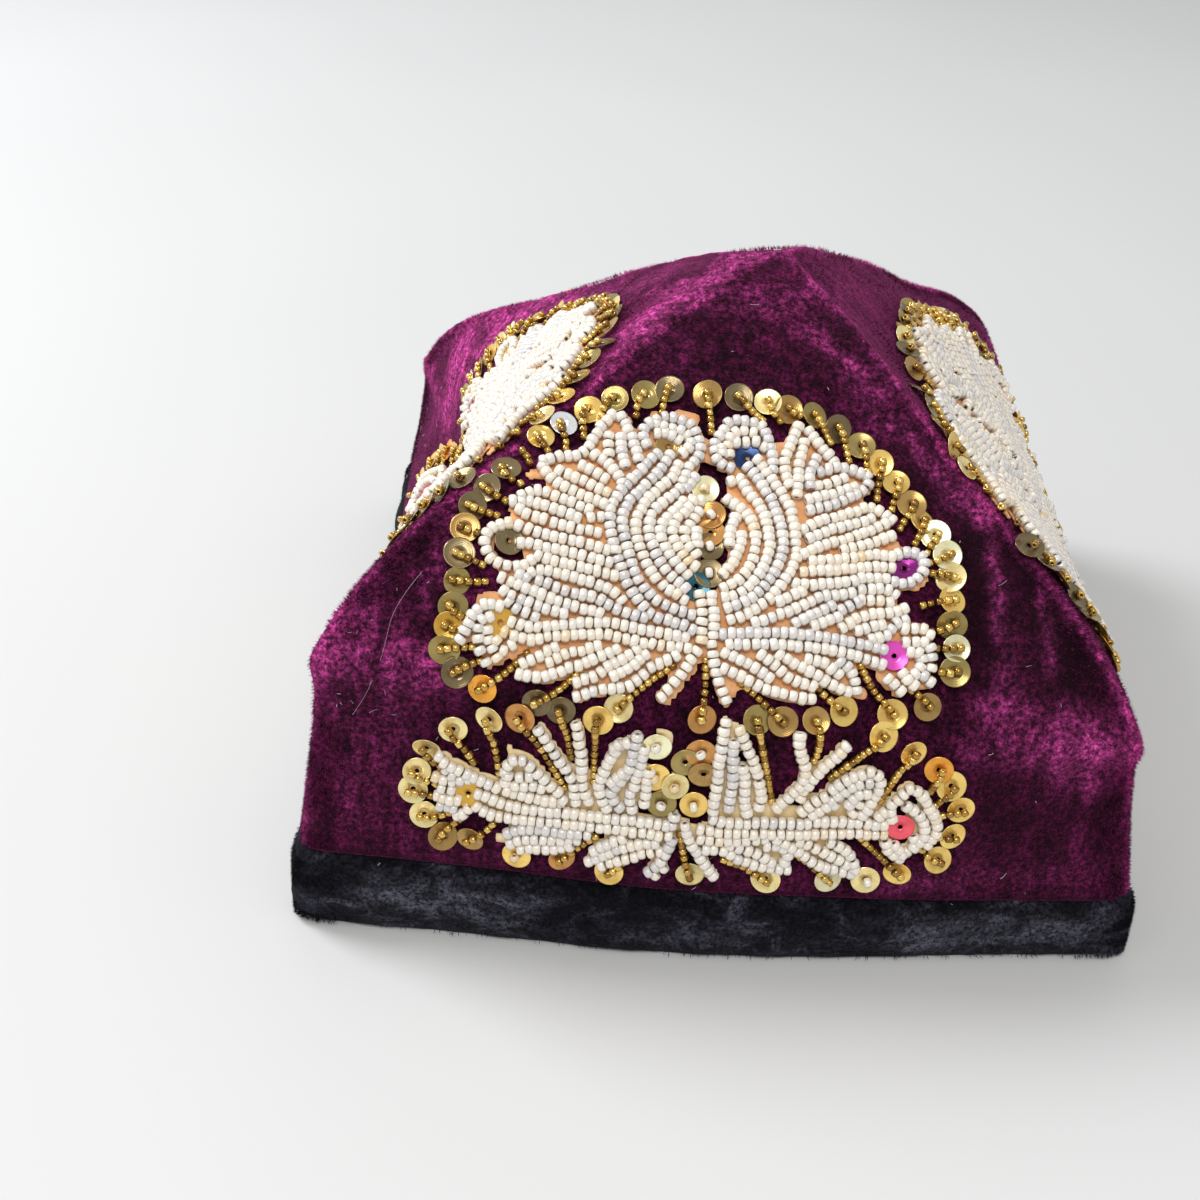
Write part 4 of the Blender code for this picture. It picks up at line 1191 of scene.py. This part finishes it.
def plum_velvet(pile):
    made, tree, shader = new_material("plum velvet pile")
    cloth = use_group(tree, pile, Blotch_Size=70.0, Tuft_Size=1150.0)
    colour = ramp(tree, "nap colour", cloth["Nap"], (
        (0.30, (0.020, 0.0014, 0.0090)),
        (0.50, (0.038, 0.0026, 0.0180)),
        (0.68, (0.062, 0.0044, 0.0310)),
        (0.85, (0.110, 0.0090, 0.0560)),
    ))
    grain = ramp(tree, "tuft grain", cloth["Tufts"], (
        (0.37, (0.22, 0.22, 0.22)),
        (0.50, (0.95, 0.95, 0.95)),
        (0.64, (2.60, 2.70, 2.60)),
    ))
    streaks = ramp(tree, "brushing", cloth["Streaks"], greys((0.36, 0.50), (0.66, 1.60)))
    grain = mix_colour(tree, "streaked grain", 1.0, grain, streaks, "MULTIPLY")
    colour = mix_colour(tree, "grained", 1.0, colour, grain, "MULTIPLY")
    lit = mix_colour(tree, "lit pile", 1.0, (0.31, 0.034, 0.165, 1.0), grain, "MULTIPLY")
    # Painted shade: the pile darkened where it lies flat, under the crease and where the band meets the hem.
    dark = work_out(tree, "pressed pile", "MULTIPLY", attribute(tree, "pressed"), 0.85)
    colour = mix_colour(tree, "pressed", dark, colour, (0.007, 0.0006, 0.0028, 1.0))
    # Painted highlight: the lit pile colour laid along the ridges, the fold and the strokes of painted
    # sheen.
    for name, strength in (("crest", 1.6), ("fold", 1.0), ("brushed", 1.0)):
        patchy = work_out(tree, "patchy " + name, "MULTIPLY", attribute(tree, name), cloth["Patches"])
        painted_highlight = work_out(tree, name + " strength", "MULTIPLY", patchy, strength)
        colour = mix_colour(tree, "opened pile, " + name, painted_highlight, colour, lit)
    dress(
        tree, shader, Base_Color=colour, Roughness=0.9, Specular_IOR_Level=0.1,
        Sheen_Weight=0.5, Sheen_Roughness=0.26, Sheen_Tint=(0.85, 0.12, 0.46, 1.0),
        Normal=bump(tree, "pile", cloth["Height"], 0.7, 0.0006),
    )
    return made


def black_velvet(pile):
    made, tree, shader = new_material("black velvet pile")
    cloth = use_group(tree, pile, Blotch_Size=150.0, Tuft_Size=1400.0, Stretch=(0.8, 0.8, 1.5))
    colour = ramp(tree, "nap colour", cloth["Nap"], (
        (0.42, (0.0018, 0.0017, 0.0030)),
        (0.55, (0.0070, 0.0068, 0.0105)),
        (0.68, (0.0300, 0.0295, 0.0410)),
    ))
    grain = ramp(tree, "tuft grain", cloth["Tufts"], greys((0.38, 0.2), (0.64, 3.0)))
    # Lighter grey, in patches, in the strokes along the middle of the hem on every side.
    lit = work_out(tree, "patchy brushing and sheen", "MULTIPLY", attribute(tree, "brushed"), cloth["Patches"])
    colour = mix_colour(tree, "brushed open", lit, colour, (0.060, 0.060, 0.078, 1.0))
    colour = mix_colour(tree, "grained", 1.0, colour, grain, "MULTIPLY")
    dress(
        tree, shader, Base_Color=colour, Roughness=0.9, Specular_IOR_Level=0.1,
        Sheen_Weight=0.12, Sheen_Roughness=0.35, Sheen_Tint=(0.40, 0.42, 0.55, 1.0),
        Normal=bump(tree, "pile", cloth["Height"], 0.7, 0.0006),
    )
    return made


def cloth_back():
    """The plain woven back of the velvet, seen only inside the cap."""
    made, tree, shader = new_material("velvet back")
    place = place_on_piece(tree)
    weave = node(tree, "ShaderNodeTexWave", "weave", Vector=place, Scale=700.0, Distortion=1.0, Detail=1.0)
    wear = uneven(tree, "unevenness", place, Scale=45.0, Detail=4.0)
    colour = ramp(tree, "cloth colour", wear, ((0.35, (0.035, 0.006, 0.028)), (0.7, (0.085, 0.020, 0.066))))
    threads = bump(tree, "threads", weave.outputs["Fac"], 0.35, 0.0003)
    dress(tree, shader, Base_Color=colour, Roughness=0.95, Normal=threads)
    return made


def pearl_beads():
    made, tree, shader = new_material("white seed beads")
    colour = ramp(tree, "bead lots", attribute(tree, "tone"), (
        (0.00, (0.71, 0.68, 0.67)),
        (0.20, (0.85, 0.80, 0.745)),
        (0.50, (0.94, 0.865, 0.76)),
        (0.85, (0.95, 0.835, 0.69)),
        (1.00, (0.85, 0.65, 0.39)),
    ))
    cloud = uneven(tree, "cloudy glass", place_on_piece(tree), Scale=900.0, Detail=2.0)
    veil = ramp(tree, "veil", cloud, ((0.3, (0.93, 0.91, 0.88)), (0.7, (1.0, 1.0, 1.0))))
    dress(
        tree, shader, Base_Color=mix_colour(tree, "clouded", 1.0, colour, veil, "MULTIPLY"),
        Roughness=ramp(tree, "uneven gloss", cloud, greys((0.3, 0.18), (0.7, 0.32))),
        Specular_IOR_Level=0.8, Coat_Weight=1.0, Coat_Roughness=0.2, Coat_IOR=1.7,
        Subsurface_Weight=0.4, Subsurface_Radius=(0.6, 0.65, 0.7), Subsurface_Scale=0.0012,
    )
    return made


def gold_beads():
    made, tree, shader = new_material("gold lined beads")
    colour = ramp(tree, "bead lots", attribute(tree, "tone"), (
        (0.0, (0.26, 0.13, 0.020)),
        (0.4, (0.56, 0.33, 0.060)),
        (1.0, (0.90, 0.62, 0.180)),
    ))
    glints = uneven(tree, "lining seen through glass", place_on_piece(tree), Scale=1600.0, Detail=2.0)
    dress(
        tree, shader, Base_Color=colour, Metallic=0.85, Coat_Weight=0.5, Coat_Roughness=0.05,
        Roughness=ramp(tree, "gloss", glints, greys((0.4, 0.10), (0.65, 0.34))),
    )
    return made


def sequin_film():
    made, tree, shader = new_material("sequin film")
    stain = uneven(tree, "worn film", place_on_piece(tree), Scale=420.0, Detail=4.0, Roughness=0.65)
    worn = ramp(tree, "wear", stain, ((0.32, (0.78, 0.74, 0.66)), (0.55, (1.0, 1.0, 1.0))))
    rings = work_out(tree, "ring number", "MULTIPLY", attribute(tree, "from_middle"), 22.0)
    rings = work_out(tree, "turned rings", "SINE", rings)
    dress(
        tree, shader,
        Base_Color=mix_colour(tree, "stained", 1.0, attribute(tree, "tint", "Color"), worn, "MULTIPLY"),
        Roughness=ramp(tree, "gloss", stain, greys((0.3, 0.30), (0.7, 0.12))), Metallic=0.6,
        Normal=bump(tree, "stamped rings", rings, 0.10, 0.0001),
    )
    return made


def fibre_group():
    """The uneven fibre of card."""
    group = bpy.data.node_groups.new("card fibre", "ShaderNodeTree")
    group.interface.new_socket("Fibre", in_out="OUTPUT", socket_type="NodeSocketFloat")
    fibre = uneven(group, "paper fibre", place_on_piece(group), Scale=500.0, Detail=5.0)
    join(group, fibre, group.nodes.new("NodeGroupOutput").inputs["Fibre"])
    return group


def card_stock(name, fibres, pale, deep):
    made, tree, shader = new_material(name)
    fibre = use_group(tree, fibres)["Fibre"]
    colour = ramp(tree, "card colour", fibre, ((0.35, deep), (0.65, pale)))
    grain = bump(tree, "paper grain", fibre, 0.3, 0.0002)
    dress(tree, shader, Base_Color=colour, Roughness=0.8, Normal=grain)
    return made


def lint_fibre():
    made, tree, shader = new_material("lint fibre")
    mixed = uneven(tree, "mixed lint", place_on_piece(tree), Scale=60.0)
    colour = ramp(tree, "lint colour", mixed, ((0.4, (0.40, 0.30, 0.37)), (0.6, (0.85, 0.80, 0.84))))
    dress(tree, shader, Base_Color=colour, Roughness=0.7)
    return made


# Surroundings

def floor():
    made, tree, shader = new_material("pale floor")
    cloud = uneven(tree, "faint clouds", place_on_piece(tree), Scale=2.0, Detail=2.0)
    colour = ramp(tree, "floor colour", cloud, ((0.3, (0.585, 0.585, 0.583)), (0.7, (0.625, 0.625, 0.623))))
    dress(tree, shader, Base_Color=colour, Roughness=0.7)
    mesh = bpy.data.meshes.new("floor")
    reach = 3.0
    corners = [(-reach, -reach, 0), (reach, -reach, 0), (reach, reach, 0), (-reach, reach, 0)]
    mesh.from_pydata(corners, [], [(0, 1, 2, 3)])
    mesh.materials.append(made)
    ground = bpy.data.objects.new("floor", mesh)
    bpy.context.scene.collection.objects.link(ground)


def area_light(name, place, target, size, power, colour):
    data = bpy.data.lights.new(name, "AREA")
    data.shape = "DISK"
    data.size = size
    data.energy = power
    data.color = colour
    lamp = bpy.data.objects.new(name, data)
    bpy.context.scene.collection.objects.link(lamp)
    lamp.location = place
    lamp.rotation_euler = (Vector(target) - Vector(place)).to_track_quat("-Z", "Y").to_euler()


def lights():
    middle = (0.0, 0.0, 0.05)
    area_light("window", (-0.95, 0.38, 0.95), middle, 0.55, 14.5, (0.97, 0.98, 1.0))
    area_light("ceiling", (-0.1, -0.65, 1.15), middle, 0.5, 6.5, (1.0, 0.98, 0.95))
    world = bpy.data.worlds.new("soft room")
    bpy.context.scene.world = world
    world.use_nodes = True
    sky = world.node_tree.nodes["Background"]
    sky.inputs["Color"].default_value = (0.98, 0.99, 1.0, 1.0)
    sky.inputs["Strength"].default_value = 0.6
    bpy.context.scene.view_settings.view_transform = "Standard"


def camera():
    yaw = math.radians(CAMERA_YAW)
    pitch = math.radians(CAMERA_PITCH)
    roll = math.radians(CAMERA_ROLL)
    forward = Vector((math.sin(yaw) * math.cos(pitch), math.cos(yaw) * math.cos(pitch), -math.sin(pitch)))
    right = Vector((math.cos(yaw), -math.sin(yaw), 0.0))
    up = right.cross(forward)
    turned_right = math.cos(roll) * right + math.sin(roll) * up
    turned_up = math.cos(roll) * up - math.sin(roll) * right
    data = bpy.data.cameras.new("camera")
    data.lens = CAMERA_LENS
    data.sensor_width = 36.0
    data.clip_start = 0.01
    holder = bpy.data.objects.new("camera", data)
    turn = Matrix((turned_right, turned_up, -forward)).transposed()
    holder.matrix_world = Matrix.Translation(Vector(CAMERA_PLACE) * METRES) @ turn.to_4x4()
    bpy.context.scene.collection.objects.link(holder)
    bpy.context.scene.camera = holder


def main():
    pile = pile_group()
    plum = plum_velvet(pile)
    black = black_velvet(pile)
    velvet_body(plum, cloth_back())
    hem_body(black)
    nap("crown_nap", 85000, HEM_TOP + 0.8, 138.5, -0.35, 0.85, plum, 31)
    nap("hem_nap", 28000, 0.9, HEM_TOP - 0.9, 0.85, 0.75, black, 32)
    beads = pearl_beads()
    gold = gold_beads()
    film = sequin_film()
    fibres = fibre_group()
    peach = card_stock("peach card", fibres, (0.90, 0.50, 0.24), (0.78, 0.36, 0.14))
    cream = card_stock("cream card", fibres, (0.94, 0.76, 0.46), (0.84, 0.62, 0.30))
    for side in range(len(SIDE_NAMES)):
        white_beads(side, "fan", FAN_ROWS, FAN_STUDS, beads)
        white_beads(side, "spray", SPRAY_ROWS, SPRAY_STUDS, beads)
        card(side, "fan", FAN_ROWS, FAN_CARD, peach)
        card(side, "spray", SPRAY_ROWS, SPRAY_CARD, cream)
        gold_and_sequins(side, "fan", FAN_STRINGS, FAN_STUDS, gold, film, beads)
        gold_and_sequins(side, "spray", SPRAY_STRINGS, SPRAY_STUDS, gold, film, beads)
    lint(lint_fibre())
    floor()
    lights()
    camera()


main()
